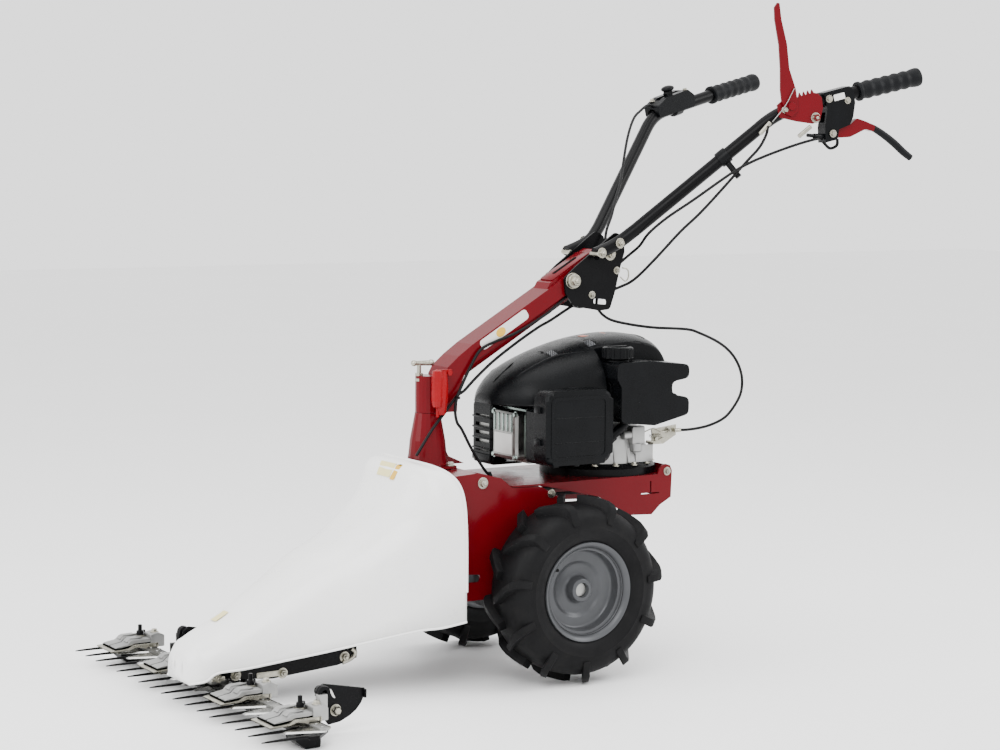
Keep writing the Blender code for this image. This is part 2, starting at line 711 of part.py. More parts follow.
def right_skid_bracket():
    """The same bush and pin for the right skid, on a lug of the bar itself."""
    px, _ = SKID_PIVOT
    left = fuse(skid_bracket(), box(px - 0.0055, 0.6214, SKID_Y + 0.0065, SKID_Y + 0.0220, 0.0270, 0.0560))
    right = moved(mirrored(left), Matrix.Translation((0, RIGHT_SKID_SHIFT, 0)))
    bpy.data.objects.remove(left, do_unlink=True)
    return [right]


def cutting_gear():
    finish(bar_carrier(), "bar_carrier", "black_paint")
    finish(knife_crank(), "knife_crank", "steel")
    finish(cutter_bar(), "finger_bar", "black_paint")
    finish(knife(), "knife", "steel")
    for index, y in enumerate(CLAMP_Y):
        clamp = knife_clamp(y)
        if y == max(CLAMP_Y):
            fuse(clamp, skid_bracket())
        finish(clamp, f"knife_clamp_{index + 1}", "zinc")
    left = skid()
    right = moved(mirrored(left), Matrix.Translation((0, RIGHT_SKID_SHIFT, 0)))
    finish(left, "skid_left", "black_paint")
    finish(right, "skid_right", "black_paint")


def hood():
    """White moulded hood over the blade drive, open below and at its rear."""
    stations = [
        (0.218, 0.163, 0.127, 0.412, 0.040, 5.4),
        (0.264, 0.154, 0.119, 0.405, 0.026, 5.0),
        (0.309, 0.144, 0.113, 0.346, 0.012, 4.0),
        (0.400, 0.124, 0.094, 0.286, 0.0, 3.2),
        (0.475, 0.107, 0.082, 0.252, 0.0, 2.8),
        (0.550, 0.091, 0.073, 0.202, 0.0, 2.6),
        (0.625, 0.080, 0.063, 0.152, 0.0, 2.6),
        (0.685, 0.070, 0.060, 0.121, 0.0, 2.8),
        (0.702, 0.061, 0.049, 0.113, 0.0, 3.0),
        (0.716, 0.046, 0.045, 0.096, 0.0, 3.2),
    ]
    return arch_shell(stations, 0.004, 18, open_start=True)


# ---------------------------------------------------------------- engine
def crankcase():
    """Cast block: round base flange, crankcase and the finned cylinder pointing forward."""
    base = turned([(0, DECK_TOP_Z + GAP), (ENGINE_BASE_RADIUS, DECK_TOP_Z + GAP),
                   (ENGINE_BASE_RADIUS, 0.378), (0.098, 0.386), (0.090, 0.440), (0.066, 0.461),
                   (0.060, 0.476), (0, 0.476)], (ENGINE_X, 0, 0), (0, 0, 1), 24)
    barrel = box(-0.110, 0.008, -0.040, 0.040, 0.396, 0.478)
    fins = [box(-0.086 + 0.020 * i, -0.080 + 0.020 * i, -0.048, 0.048, 0.390, 0.484) for i in range(4)]
    head = box(-0.010, 0.0125, -0.046, 0.046, 0.392, 0.486)
    body = fuse(base, barrel, *fins, head)
    flap_room = box(-0.350, -0.2630, -0.150, 0.150, 0.350, 0.3840)
    return carve(body, rod((ENGINE_X, 0, 0.35), (ENGINE_X, 0, 0.50), 0.0130, 24), flap_room)


def muffler():
    return soft_box(-0.055, 0.0300, -0.1195, -0.0485, 0.392, 0.486, 0.012)


def muffler_guard():
    """Slotted black guard round the front and the outside of the muffler."""
    body = soft_box(-0.045, 0.0360, -0.1280, -0.0500, 0.378, 0.500, 0.009)
    inside = box(-0.065, 0.0315, -0.1225, -0.0300, 0.384, 0.494)
    slots = [box(0.025, 0.050, -0.112, -0.062, 0.404 + 0.016 * i, 0.411 + 0.016 * i) for i in range(5)]
    return carve(body, inside, *slots)


def air_filter():
    base = soft_box(-0.092, 0.034, 0.0620, 0.124, 0.398, 0.504, 0.008)
    intake = rod((-0.040, 0.0485, 0.446), (-0.040, 0.066, 0.446), 0.014, 12)
    cover = soft_box(-0.098, 0.052, 0.1243, 0.166, 0.402, 0.5415, 0.014)
    return fuse(base, intake), cover


def fuel_tank():
    """Black tank at the rear left, with a notch in its rear end and its filler neck."""
    outline = rounded(
        [(-0.118, 0.586), (-0.118, 0.556), (-0.128, 0.540), (-0.128, 0.472), (-0.205, 0.464), (-0.285, 0.482), (-0.285, 0.514),
         (-0.245, 0.522), (-0.245, 0.546), (-0.285, 0.552), (-0.285, 0.578), (-0.190, 0.588)], 0.012)
    body = prism(outline, 0.0745, 0.150)
    neck = rod((TANK_NECK_X, 0.108, 0.575), (TANK_NECK_X, 0.108, 0.592), 0.018, 16)
    return fuse(body, neck)


def fuel_cap():
    """Screw cap with a knurled rim."""
    rim = []
    for i in range(32):
        radius = 0.0300 if i % 2 else 0.0285
        angle = 2 * math.pi * i / 32
        rim.append((TANK_NECK_X + radius * math.cos(angle), 0.108 + radius * math.sin(angle)))
    return prism(rim, 0.5925, 0.612, "Z")


def engine_cowl():
    """Teardrop cowl over the flywheel, cut away for the tank."""
    stations = [
        (0.088, 0.030, 0.5080, 0.5260, 0.0, 2.2),
        (0.070, 0.058, 0.5065, 0.5490, 0.0, 2.2),
        (0.030, 0.092, 0.5060, 0.5770, 0.0, 2.2),
        (-0.040, 0.112, 0.5060, 0.6050, 0.0, 2.3),
        (-0.120, 0.124, 0.5060, 0.6250, 0.0, 2.4),
        (-0.200, 0.125, 0.5060, 0.6325, 0.0, 2.5),
        (-0.255, 0.112, 0.5060, 0.6250, 0.0, 2.5),
        (-0.285, 0.086, 0.5060, 0.6080, 0.0, 2.4),
        (-0.300, 0.050, 0.5060, 0.5860, 0.0, 2.2),
    ]
    shell = arch_shell(stations, 0.004, 14)
    tank_room = box(-0.36, -0.1140, 0.0720, 0.20, 0.45, 0.70)
    return carve(shell, tank_room)


def starter_grip():
    """Recoil starter's T-handle at the cowl's right side."""
    grip = rod((-0.205, -0.140, 0.560), (-0.145, -0.140, 0.560), 0.009, 10)
    stem = rod((-0.175, -0.140, 0.560), (-0.175, -0.1265, 0.560), 0.0045, 8)
    return fuse(grip, stem)


def governor_bracket():
    """Folded plate below the tank that holds the throttle cable's end."""
    plate = prism([(-0.2380, 0.420), (-0.2340, 0.450), (-0.292, 0.456), (-0.292, 0.436), (-0.262, 0.420)],
                  0.096, 0.099)
    tab = box(-0.262, -0.2380, 0.0740, 0.0975, 0.420, 0.424)
    post = rod((-0.2450, 0.0800, 0.3868), (-0.2450, 0.0800, 0.422), 0.005, 8)
    return fuse(plate, tab, post)


def engine():
    finish(crankcase(), "crankcase", "aluminium")
    finish(soft_box(0.0130, 0.042, -0.042, 0.042, 0.398, 0.492, 0.008), "valve_cover", "steel")
    finish(muffler(), "muffler", "steel")
    finish(muffler_guard(), "muffler_guard", "black_plastic")
    base, cover = air_filter()
    finish(base, "air_filter_base", "black_plastic")
    finish(cover, "air_filter_cover", "black_plastic")
    finish(fuel_tank(), "fuel_tank", "black_plastic")
    finish(fuel_cap(), "fuel_cap", "black_plastic")
    finish(engine_cowl(), "engine_cowl", "black_plastic")
    finish(starter_grip(), "starter_grip", "black_plastic")
    finish(governor_bracket(), "governor_bracket", "zinc")
    plug = fuse(rod((-0.026, 0, 0.4950), (0.010, 0, 0.4950), 0.0070, 10),
                rod((-0.002, 0, 0.4863), (-0.002, 0, 0.4945), 0.006, 8))
    finish(plug, "spark_plug", "black_plastic")


# ---------------------------------------------------------------- steering column and handlebars
def steering_post():
    """Red post on the frame, ending in the pin that the column arm turns on."""
    flange = box(0.171, 0.246, -0.045, 0.045, 0.3933, 0.3985)
    post = turned([(0, 0.3960), (0.040, 0.3960), (0.036, 0.420), (0.0335, 0.445), (0.0270, 0.480),
                   (0.0240, SWIVEL_Z - GAP), (0.0120, SWIVEL_Z - GAP), (0.0120, 0.552), (0, 0.552)],
                  (POST_X, 0, 0), (0, 0, 1), 20)
    gusset = prism([(0.185, 0.3965), (0.131, 0.3965), (0.165, 0.412), (0.180, 0.440)], -0.004, 0.004)
    carved = carve(fuse(post, flange, gusset), box(0.10, 0.30, -0.06, 0.06, 0.35, 0.3933))
    return carved


def column_arm():
    """Red arm: a rectangular tube over a round one, on the sleeve that turns on the post."""
    low = SWIVEL_Z + GAP
    outline = [
        (POST_X - 0.018, low + 0.0008), (POST_X - 0.018, 0.5672), (0.182, 0.582), (0.158, 0.602),
        (0.128, 0.623), (-0.142, 0.7820), (-0.157, 0.7560), (0.113, 0.597), (0.146, 0.566),
        (0.160, 0.536), (0.162, low + 0.0008),
    ]
    beam = prism(outline, -ARM_HALF, ARM_HALF)
    sleeve = rod((POST_X, 0, low), (POST_X, 0, 0.566), 0.0235, 20)
    direction = Vector((-0.862, 0, 0.507))
    start = Vector((0.150, 0, 0.5644))
    lower = rod(start, start + direction * 0.317, 0.0120, 12)
    cap = prism([(-0.034, 0.7120), (-0.130, 0.7685), (-0.1535, 0.7960), (-0.046, 0.7335)], -0.024, 0.024)
    body = fuse(beam, sleeve, lower, cap)
    pin_hole = rod((POST_X, 0, 0.48), (POST_X, 0, 0.5555), 0.0123, 20)
    screw_hole = rod((POST_X + 0.0185, 0, 0.535), (POST_X + 0.0185, 0, 0.60), 0.0043, 10)
    pivot_hole = bolt_hole(*HEIGHT_PIVOT, 0.0056)
    return carve(body, pin_hole, screw_hole, pivot_hole)


def bolt_hole(x, z, radius):
    return rod((x, -0.08, z), (x, 0.08, z), radius, 14)


def swivel_screw():
    """T-handle screw that clamps the sleeve."""
    x = POST_X + 0.0185
    stem = rod((x, 0, 0.5405), (x, 0, 0.593), 0.0040, 10)
    handle = rod((x + 0.015, 0, 0.590), (x - 0.030, 0, 0.588), 0.0045, 10)
    return fuse(stem, handle)


def lock_lever():
    """Red sleeved lever that hangs beside the post."""
    grip = turned([(0, 0), (0.0090, 0.003), (0.0115, 0.014), (0.0115, 0.058), (0.0095, 0.070), (0, 0.073)],
                  (0.213, 0.045, 0.508), (0, 0, 1), 12)
    pin = rod((0.190, 0.0302, 0.574), (0.190, 0.052, 0.574), 0.005, 10)
    crank = prism([(0.184, 0.568), (0.184, 0.580), (0.216, 0.580), (0.216, 0.568)], 0.042, 0.048)
    wire = rod((0.213, 0.045, 0.492), (0.213, 0.045, 0.512), 0.003, 8)
    return fuse(grip, crank, pin, wire)


def handle_plate():
    """Left side plate between the arm and the handlebar."""
    outline = rounded(
        [(-0.096, 0.7640), (-0.172, 0.8180), (-0.188, 0.8290), (-0.207, 0.8180), (-0.209, 0.790),
         (-0.198, 0.757), (-0.188, 0.715), (-0.176, 0.680), (-0.152, 0.6780), (-0.093, 0.688),
         (-0.074, 0.712), (-0.070, 0.742)], 0.010)
    plate = prism(outline, PLATE_INNER_Y, PLATE_INNER_Y + PLATE_THICKNESS)
    slot = prism(rounded([(-0.137, 0.692), (-0.138, 0.702), (-0.168, 0.699), (-0.170, 0.689)], 0.004, 2),
                 0, 0.08)
    return carve(plate, slot, bolt_hole(*HEIGHT_PIVOT, 0.0056), bolt_hole(*HEIGHT_LOCK, 0.0046))


def through_bolt(x, z, radius, head, reach):
    shank = rod((x, -reach, z), (x, reach, z), radius, 12)
    ends = []
    for side in (-1, 1):
        inner = PLATE_INNER_Y + PLATE_THICKNESS + GAP
        ends.append(rod((x, side * inner, z), (x, side * reach, z), head, 6 if side < 0 else 12))
    return fuse(shank, *ends)


def handlebar():
    """Left tube: bolted flat to its plate, up and out, then bent back to the grip."""
    along = (GRIP_END - GRIP_START).normalized()
    route = [Vector((-0.132, 0.0495, 0.788)), Vector((-0.165, 0.0497, 0.800)),
             Vector((-0.190, 0.0520, 0.813)), Vector((-0.215, 0.0640, 0.834))]
    rise = Vector((-0.412, 0.186, 1.028))
    flat = GRIP_START.lerp(HANDLE_BEND, 0.80)
    route.append(rise)
    for step in range(1, 6):
        t = step / 5
        route.append(rise.lerp(HANDLE_BEND, t).lerp(HANDLE_BEND.lerp(flat, t), t))
    route += [GRIP_START, GRIP_END - along * 0.010]
    return pipe(route, TUBE_RADIUS, 14)


def grip():
    """Left rubber grip with finger ridges, slipped over the tube's end."""
    length = (GRIP_END - GRIP_START).length
    outer = [(0.0185, 0.0), (0.0185, 0.006), (0.0165, 0.010)]
    ridges = 4
    for i in range(ridges * 2 + 1):
        outer.append((0.0165 + 0.0012 * (i % 2), 0.012 + (length - 0.040) * i / (ridges * 2)))
    outer += [(0.0180, length - 0.020), (0.0190, length - 0.010), (0.0170, length - 0.002)]
    bore = TUBE_RADIUS + GAP
    profile = [(bore, 0.0)] + outer + [(0.010, length), (0, length), (0, length - 0.008), (bore, length - 0.008)]
    return turned(profile, GRIP_START, GRIP_END - GRIP_START, 14)


def tube_frame(side=1):
    """Axes of the straight handlebar end: X back along the tube, Y out of the machine, Z up."""
    back = (GRIP_START - HANDLE_BEND).normalized()
    out = Vector((0, 0, 1)).cross(back).normalized() * -1
    if out.y < 0:
        out = -out
    up = back.cross(out)
    if up.z < 0:
        up = -up
    matrix = Matrix((back, out, up)).transposed().to_4x4()
    matrix.translation = HANDLE_BEND
    if side < 0:
        matrix = Matrix.Scale(-1, 4, (0, 1, 0)) @ matrix
    return matrix


def place_on_tube(thing, side=1):
    """Moves a piece modelled in the tube's own axes to its place, keeping its faces outward."""
    matrix = tube_frame(side)
    thing.data.transform(matrix)
    shape = bmesh.new()
    shape.from_mesh(thing.data)
    bmesh.ops.recalc_face_normals(shape, faces=shape.faces)
    shape.to_mesh(thing.data)
    shape.free()
    return thing


def blade_quadrant():
    """Toothed bracket on the left tube that holds the blade lever."""
    outline = [(0.000, -0.008), (0.000, 0.016), (0.012, 0.022), (0.044, 0.020)]
    for tooth in range(4):
        u = 0.048 + 0.009 * tooth
        outline += [(u, 0.0215), (u + 0.0035, 0.0285), (u + 0.0060, 0.0215)]
    outline += [(0.090, 0.018), (0.096, 0.008), (0.094, -0.012), (0.082, -0.034), (0.066, -0.036),
                (0.034, -0.024)]
    plate = prism(outline, TUBE_RADIUS + 0.0006, TUBE_RADIUS + 0.0046)
    bolt = rod((0.074, TUBE_RADIUS + 0.0046 - 0.001, -0.026), (0.074, TUBE_RADIUS + 0.013, -0.026), 0.007, 6)
    body = fuse(plate, bolt)
    hole = rod((BLADE_LEVER_U, 0, BLADE_LEVER_V), (BLADE_LEVER_U, 0.05, BLADE_LEVER_V), 0.0045, 12)
    return place_on_tube(carve(body, hole))


def blade_lever():
    """Tall red lever on its pivot."""
    outline = [(0.0412, 0.205), (0.0330, 0.198), (0.0288, 0.1754), (0.0268, 0.1275), (0.0197, 0.083),
               (0.0109, 0.044), (0.0087, 0.0228), (0.0120, -0.004), (0.0230, -0.012), (0.0380, -0.004),
               (0.0410, 0.016), (0.0426, 0.037), (0.0378, 0.0784), (0.0433, 0.1244), (0.0421, 0.172),
               (0.0450, 0.203)]
    near = TUBE_RADIUS + 0.0052
    u, v = BLADE_LEVER_U, BLADE_LEVER_V
    plate = prism(outline, near, near + 0.0045)
    pin = rod((u, TUBE_RADIUS + 0.0010, v), (u, near + 0.009, v), 0.0041, 12)
    head = rod((u, near + 0.0030, v), (u, near + 0.009, v), 0.008, 12)
    return place_on_tube(fuse(plate, pin, head))


def clutch_bracket():
    """Black bracket clamped under the left tube."""
    outline = [(0.103, 0.016), (0.104, -0.016), (0.091, -0.050), (0.086, -0.078), (0.112, -0.078),
               (0.120, -0.060), (0.1445, -0.057), (0.155, -0.044), (0.165, -0.019), (0.168, 0.006),
               (0.160, 0.016)]
    body = prism(outline, -0.0155, 0.0155)
    tube_room = rod((0.05, 0, 0), (0.20, 0, 0), TUBE_RADIUS + GAP, 14)
    lever_room = box(0.0945, 0.20, -0.0085, 0.0085, -0.10, -0.022)
    u, v = CLUTCH_LEVER_U, CLUTCH_LEVER_V
    pin_hole = rod((u, -0.03, v), (u, 0.03, v), 0.0042, 12)
    return place_on_tube(carve(body, tube_room, lever_room, pin_hole))


def clutch_lever():
    """Hand lever on its pin, curving down and back under the grip."""
    outline = [(0.096, -0.061), (0.1098, -0.054), (0.149, -0.058), (0.1668, -0.049), (0.187, -0.061),
               (0.219, -0.0865), (0.2497, -0.122), (0.2748, -0.151), (0.2634, -0.156),
               (0.2254, -0.118), (0.1948, -0.0826), (0.181, -0.074), (0.1445, -0.081), (0.106, -0.074)]
    blade = prism(outline, -0.0078, 0.0078)
    u, v = CLUTCH_LEVER_U, CLUTCH_LEVER_V
    pin = rod((u, -0.0185, v), (u, 0.0185, v), 0.0038, 12)
    return place_on_tube(fuse(blade, pin))


def throttle():
    """Housing on the right tube, and its thumb lever."""
    shell = prism(rounded([(0.000, -0.006), (0.000, 0.018), (0.030, 0.030), (0.095, 0.032), (0.112, 0.018),
                           (0.112, -0.006)], 0.008), -0.020, 0.020)
    strap = rod((0.060, 0, 0), (0.080, 0, 0), 0.0175, 14)
    body = fuse(shell, strap)
    tube_room = rod((-0.05, 0, 0), (0.20, 0, 0), TUBE_RADIUS + GAP, 14)
    lever_room = box(0.020, 0.088, -0.006, 0.006, 0.0190, 0.060)
    pin_hole = rod((THUMB_U, -0.0108, THUMB_V), (THUMB_U, 0.0108, THUMB_V), 0.0031, 10)
    bend_room = rod((-0.050, -0.0070, -0.0125), (0.0365, 0, 0), TUBE_RADIUS + 0.0018, 14)
    housing = place_on_tube(carve(body, tube_room, bend_room, lever_room, pin_hole), -1)
    thumb = prism([(0.048, 0.0215), (0.060, 0.0215), (0.064, 0.034), (0.062, 0.044), (0.050, 0.044),
                   (0.046, 0.034)], -0.0050, 0.0050)
    pin = rod((THUMB_U, -0.0103, THUMB_V), (THUMB_U, 0.0103, THUMB_V), 0.0027, 10)
    return housing, place_on_tube(fuse(thumb, pin), -1)


def handles():
    finish(steering_post(), "steering_post", "red_paint")
    finish(column_arm(), "column_arm", "red_paint")
    finish(swivel_screw(), "swivel_screw", "zinc")
    finish(lock_lever(), "lock_lever", "red_plastic")
    pair(handle_plate(), "handle_plate", "black_paint")
    finish(through_bolt(*HEIGHT_PIVOT, 0.0052, 0.011, 0.0455), "height_bolt", "zinc")
    pair(handlebar(), "handlebar", "black_paint")
    pair(grip(), "grip", "grip_rubber")
    finish(blade_quadrant(), "blade_quadrant", "red_paint")
    finish(blade_lever(), "blade_lever", "red_paint")
    finish(clutch_bracket(), "clutch_bracket", "black_plastic")
    finish(clutch_lever(), "clutch_lever", "red_plastic")
    housing, thumb = throttle()
    finish(housing, "throttle_housing", "black_plastic")
    finish(thumb, "throttle_lever", "black_plastic")


# ---------------------------------------------------------------- control cables
BLADE_CABLE = [
    (-0.409, 0.222, 1.034), (-0.410, 0.215, 1.017), (-0.405, 0.200, 0.992), (-0.384, 0.185, 0.963),
    (-0.345, 0.165, 0.913), (-0.312, 0.140, 0.867), (-0.287, 0.110, 0.830), (-0.250, 0.080, 0.777),
    (-0.228, 0.045, 0.738), (-0.205, 0.028, 0.722), (-0.147, 0.015, 0.702), (-0.109, 0.015, 0.690),
    (-0.055, 0.015, 0.662), (-0.030, 0.015, 0.651), (0.017, 0.018, 0.626), (0.074, 0.020, 0.591),
    (0.120, 0.030, 0.561), (0.150, 0.036, 0.538), (0.1657, 0.0365, 0.5285), (0.195, 0.038, 0.497),
    (0.222, 0.040, 0.468), (0.256, 0.042, 0.4225),
]
CLUTCH_CABLE = [
    (-0.5365, 0.2260, 1.0105), (-0.518, 0.232, 1.010), (-0.472, 0.225, 0.998), (-0.421, 0.208, 0.979),
    (-0.383, 0.195, 0.962), (-0.352, 0.180, 0.942), (-0.289, 0.148, 0.892), (-0.250, 0.118, 0.858),
    (-0.228, 0.090, 0.828), (-0.228, 0.060, 0.803), (-0.222, 0.035, 0.785), (-0.190, 0.022, 0.757),
    (-0.155, 0.022, 0.742), (-0.1217, 0.022, 0.7309), (-0.087, 0.024, 0.7085), (-0.040, 0.030, 0.678),
    (0.0, 0.0335, 0.658), (0.040, 0.0345, 0.640), (0.082, 0.0345, 0.627), (0.115, 0.0345, 0.612),
    (0.138, 0.036, 0.580), (0.162, 0.040, 0.540), (0.171, 0.045, 0.527), (0.177, 0.048, 0.504),
    (0.174, 0.050, 0.481), (0.163, 0.050, 0.466), (0.141, 0.050, 0.427), (0.113, 0.050, 0.387),
    (0.102, 0.050, 0.3775),
]
THROTTLE_CABLE = [
    (-0.4217, -0.1800, 1.084), (-0.3877, -0.170, 1.067), (-0.3597, -0.155, 1.050),
    (-0.3277, -0.130, 1.011), (-0.2957, -0.100, 0.951), (-0.2777, -0.080, 0.924),
    (-0.2527, -0.060, 0.890), (-0.2297, -0.040, 0.858), (-0.2067, -0.025, 0.825),
    (-0.196, -0.012, 0.785), (-0.186, -0.004, 0.745), (-0.172, 0.0, 0.710), (-0.166, 0.006, 0.685),
    (-0.174, 0.020, 0.666), (-0.193, 0.040, 0.655), (-0.248, 0.070, 0.645), (-0.312, 0.100, 0.641),
    (-0.338, 0.110, 0.633), (-0.375, 0.120, 0.615), (-0.401, 0.125, 0.595), (-0.417, 0.130, 0.571),
    (-0.427, 0.130, 0.543), (-0.425, 0.130, 0.515), (-0.411, 0.130, 0.491), (-0.387, 0.130, 0.468),
    (-0.355, 0.125, 0.454), (-0.322, 0.115, 0.447), (-0.294, 0.1035, 0.445),
]


def cables():
    for name, knots in (
        ("blade_cable", BLADE_CABLE),
        ("clutch_cable", CLUTCH_CABLE),
        ("throttle_cable", THROTTLE_CABLE),
    ):
        finish(pipe(smooth_route(knots, 2), 0.0028, 6), name, "cable_black")


clear_scene()
wheels()
chassis()
drives()
cutting_gear()
finish(hood(), "hood", "white_plastic")
engine()
handles()
cables()
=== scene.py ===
"""Looks of the walk-behind brush mower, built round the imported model.

Lengths are in metres in the row frame: +X forward to the cutter bar, +Y left, +Z up, floor at 0.
"""

import json
import math

import bmesh
import bpy
from mathutils import Matrix, Vector


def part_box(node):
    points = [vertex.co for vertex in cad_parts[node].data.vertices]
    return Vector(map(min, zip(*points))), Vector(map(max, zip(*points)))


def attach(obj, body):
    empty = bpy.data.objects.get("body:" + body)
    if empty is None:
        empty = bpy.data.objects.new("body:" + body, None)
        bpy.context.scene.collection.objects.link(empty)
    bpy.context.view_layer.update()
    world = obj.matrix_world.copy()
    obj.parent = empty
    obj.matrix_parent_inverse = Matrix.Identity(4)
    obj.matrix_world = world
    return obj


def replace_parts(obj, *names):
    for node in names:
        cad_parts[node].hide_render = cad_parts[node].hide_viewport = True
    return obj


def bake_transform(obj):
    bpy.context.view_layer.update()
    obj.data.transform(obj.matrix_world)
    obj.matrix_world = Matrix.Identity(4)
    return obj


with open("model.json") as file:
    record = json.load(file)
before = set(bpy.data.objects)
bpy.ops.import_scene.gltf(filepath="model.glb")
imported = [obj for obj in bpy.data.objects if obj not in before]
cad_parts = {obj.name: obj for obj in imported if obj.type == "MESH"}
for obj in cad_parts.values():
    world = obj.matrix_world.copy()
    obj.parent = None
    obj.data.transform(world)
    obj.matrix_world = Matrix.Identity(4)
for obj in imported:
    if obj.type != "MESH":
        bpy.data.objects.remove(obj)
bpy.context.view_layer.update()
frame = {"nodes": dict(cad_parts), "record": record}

UP = (0, 0, 1)
FINGER_PITCH = 0.0508
FINGER_COUNT = 17
BAR_HALF = FINGER_PITCH * FINGER_COUNT / 2
WHEEL_RADIUS = 0.175
WHEEL_Y = 0.185
LUG_COUNT = 11
TUBE_RADIUS = 0.0125
CABLE_RADIUS = 0.0028
HANDLE_BEND = Vector((-0.440, 0.203, 1.058))
HANDLE_KNEE = Vector((-0.215, 0.0640, 0.834))
GRIP_START = Vector((-0.6125, 0.237, 1.102))
GRIP_END = Vector((-0.7475, 0.2615, 1.1335))
HEIGHT_PIVOT = Vector((-0.089, 0.0, 0.737))
HEIGHT_LOCK = Vector((-0.175, 0.0, 0.787))
ENGINE_X = -0.175
BASE_REAR_X = -0.2628


# ---------------------------------------------------------------- materials
def node(tree, kind, **values):
    """A shader node with its inputs set by name."""
    made = tree.nodes.new(kind)
    for name, value in values.items():
        made.inputs[name.replace("_", " ")].default_value = value
    return made


def finish_of(name, colour, roughness, metallic=0.0, coat=0.0, mottle=(18.0, 0.12), grain=(900.0, 0.05),
              dirt=None, wear=(0.04, 60.0), edge=0.0008, shine=0.5):
    """A Principled material with colour drift, uneven gloss, fine grain and softened edges.

    mottle is (scale, strength) of the colour drift and grain the same of the relief. dirt is a
    second colour that settles in patches.
    """
    material = bpy.data.materials.new(name)
    material.use_nodes = True
    tree = material.node_tree
    shader = tree.nodes["Principled BSDF"]
    shader.inputs["Metallic"].default_value = metallic
    shader.inputs["Coat Weight"].default_value = coat
    shader.inputs["Coat Roughness"].default_value = 0.08
    shader.inputs["Specular IOR Level"].default_value = shine
    place = tree.nodes.new("ShaderNodeTexCoord")
    link = tree.links.new

    drift = node(tree, "ShaderNodeTexNoise", Scale=mottle[0], Detail=6.0, Roughness=0.6)
    link(place.outputs["Object"], drift.inputs["Vector"])
    ramp = tree.nodes.new("ShaderNodeValToRGB")
    for stop, position, share in zip(ramp.color_ramp.elements, (0.30, 0.72), (1 - mottle[1], 1 + mottle[1])):
        stop.position = position
        stop.color = (*(min(1.0, c * share) for c in colour), 1.0)
    link(drift.outputs["Fac"], ramp.inputs["Fac"])
    base = ramp.outputs["Color"]
    if dirt:
        patches = node(tree, "ShaderNodeTexNoise", Scale=mottle[0] * 2.7, Detail=9.0, Roughness=0.7)
        link(place.outputs["Object"], patches.inputs["Vector"])
        cover = node(tree, "ShaderNodeMapRange", From_Min=0.50, From_Max=0.80, To_Min=0.0, To_Max=0.55)
        link(patches.outputs["Fac"], cover.inputs["Value"])
        blend = tree.nodes.new("ShaderNodeMix")
        blend.data_type = "RGBA"
        link(cover.outputs["Result"], blend.inputs[0])
        link(base, blend.inputs[6])
        blend.inputs[7].default_value = (*dirt, 1.0)
        base = blend.outputs[2]
    link(base, shader.inputs["Base Color"])

    gloss = node(tree, "ShaderNodeTexNoise", Scale=wear[1], Detail=5.0, Roughness=0.65)
    link(place.outputs["Object"], gloss.inputs["Vector"])
    spread = node(tree, "ShaderNodeMapRange", From_Min=0.3, From_Max=0.7,
                  To_Min=max(0.02, roughness - wear[0]), To_Max=min(1.0, roughness + wear[0]))
    link(gloss.outputs["Fac"], spread.inputs["Value"])
    link(spread.outputs["Result"], shader.inputs["Roughness"])

    relief = node(tree, "ShaderNodeTexNoise", Scale=grain[0], Detail=3.0, Roughness=0.55)
    link(place.outputs["Object"], relief.inputs["Vector"])
    bump = node(tree, "ShaderNodeBump", Strength=grain[1], Distance=0.0006)
    link(relief.outputs["Fac"], bump.inputs["Height"])
    if edge:
        soften = tree.nodes.new("ShaderNodeBevel")
        soften.samples = 4
        soften.inputs["Radius"].default_value = edge
        link(soften.outputs["Normal"], bump.inputs["Normal"])
    link(bump.outputs["Normal"], shader.inputs["Normal"])
    return material


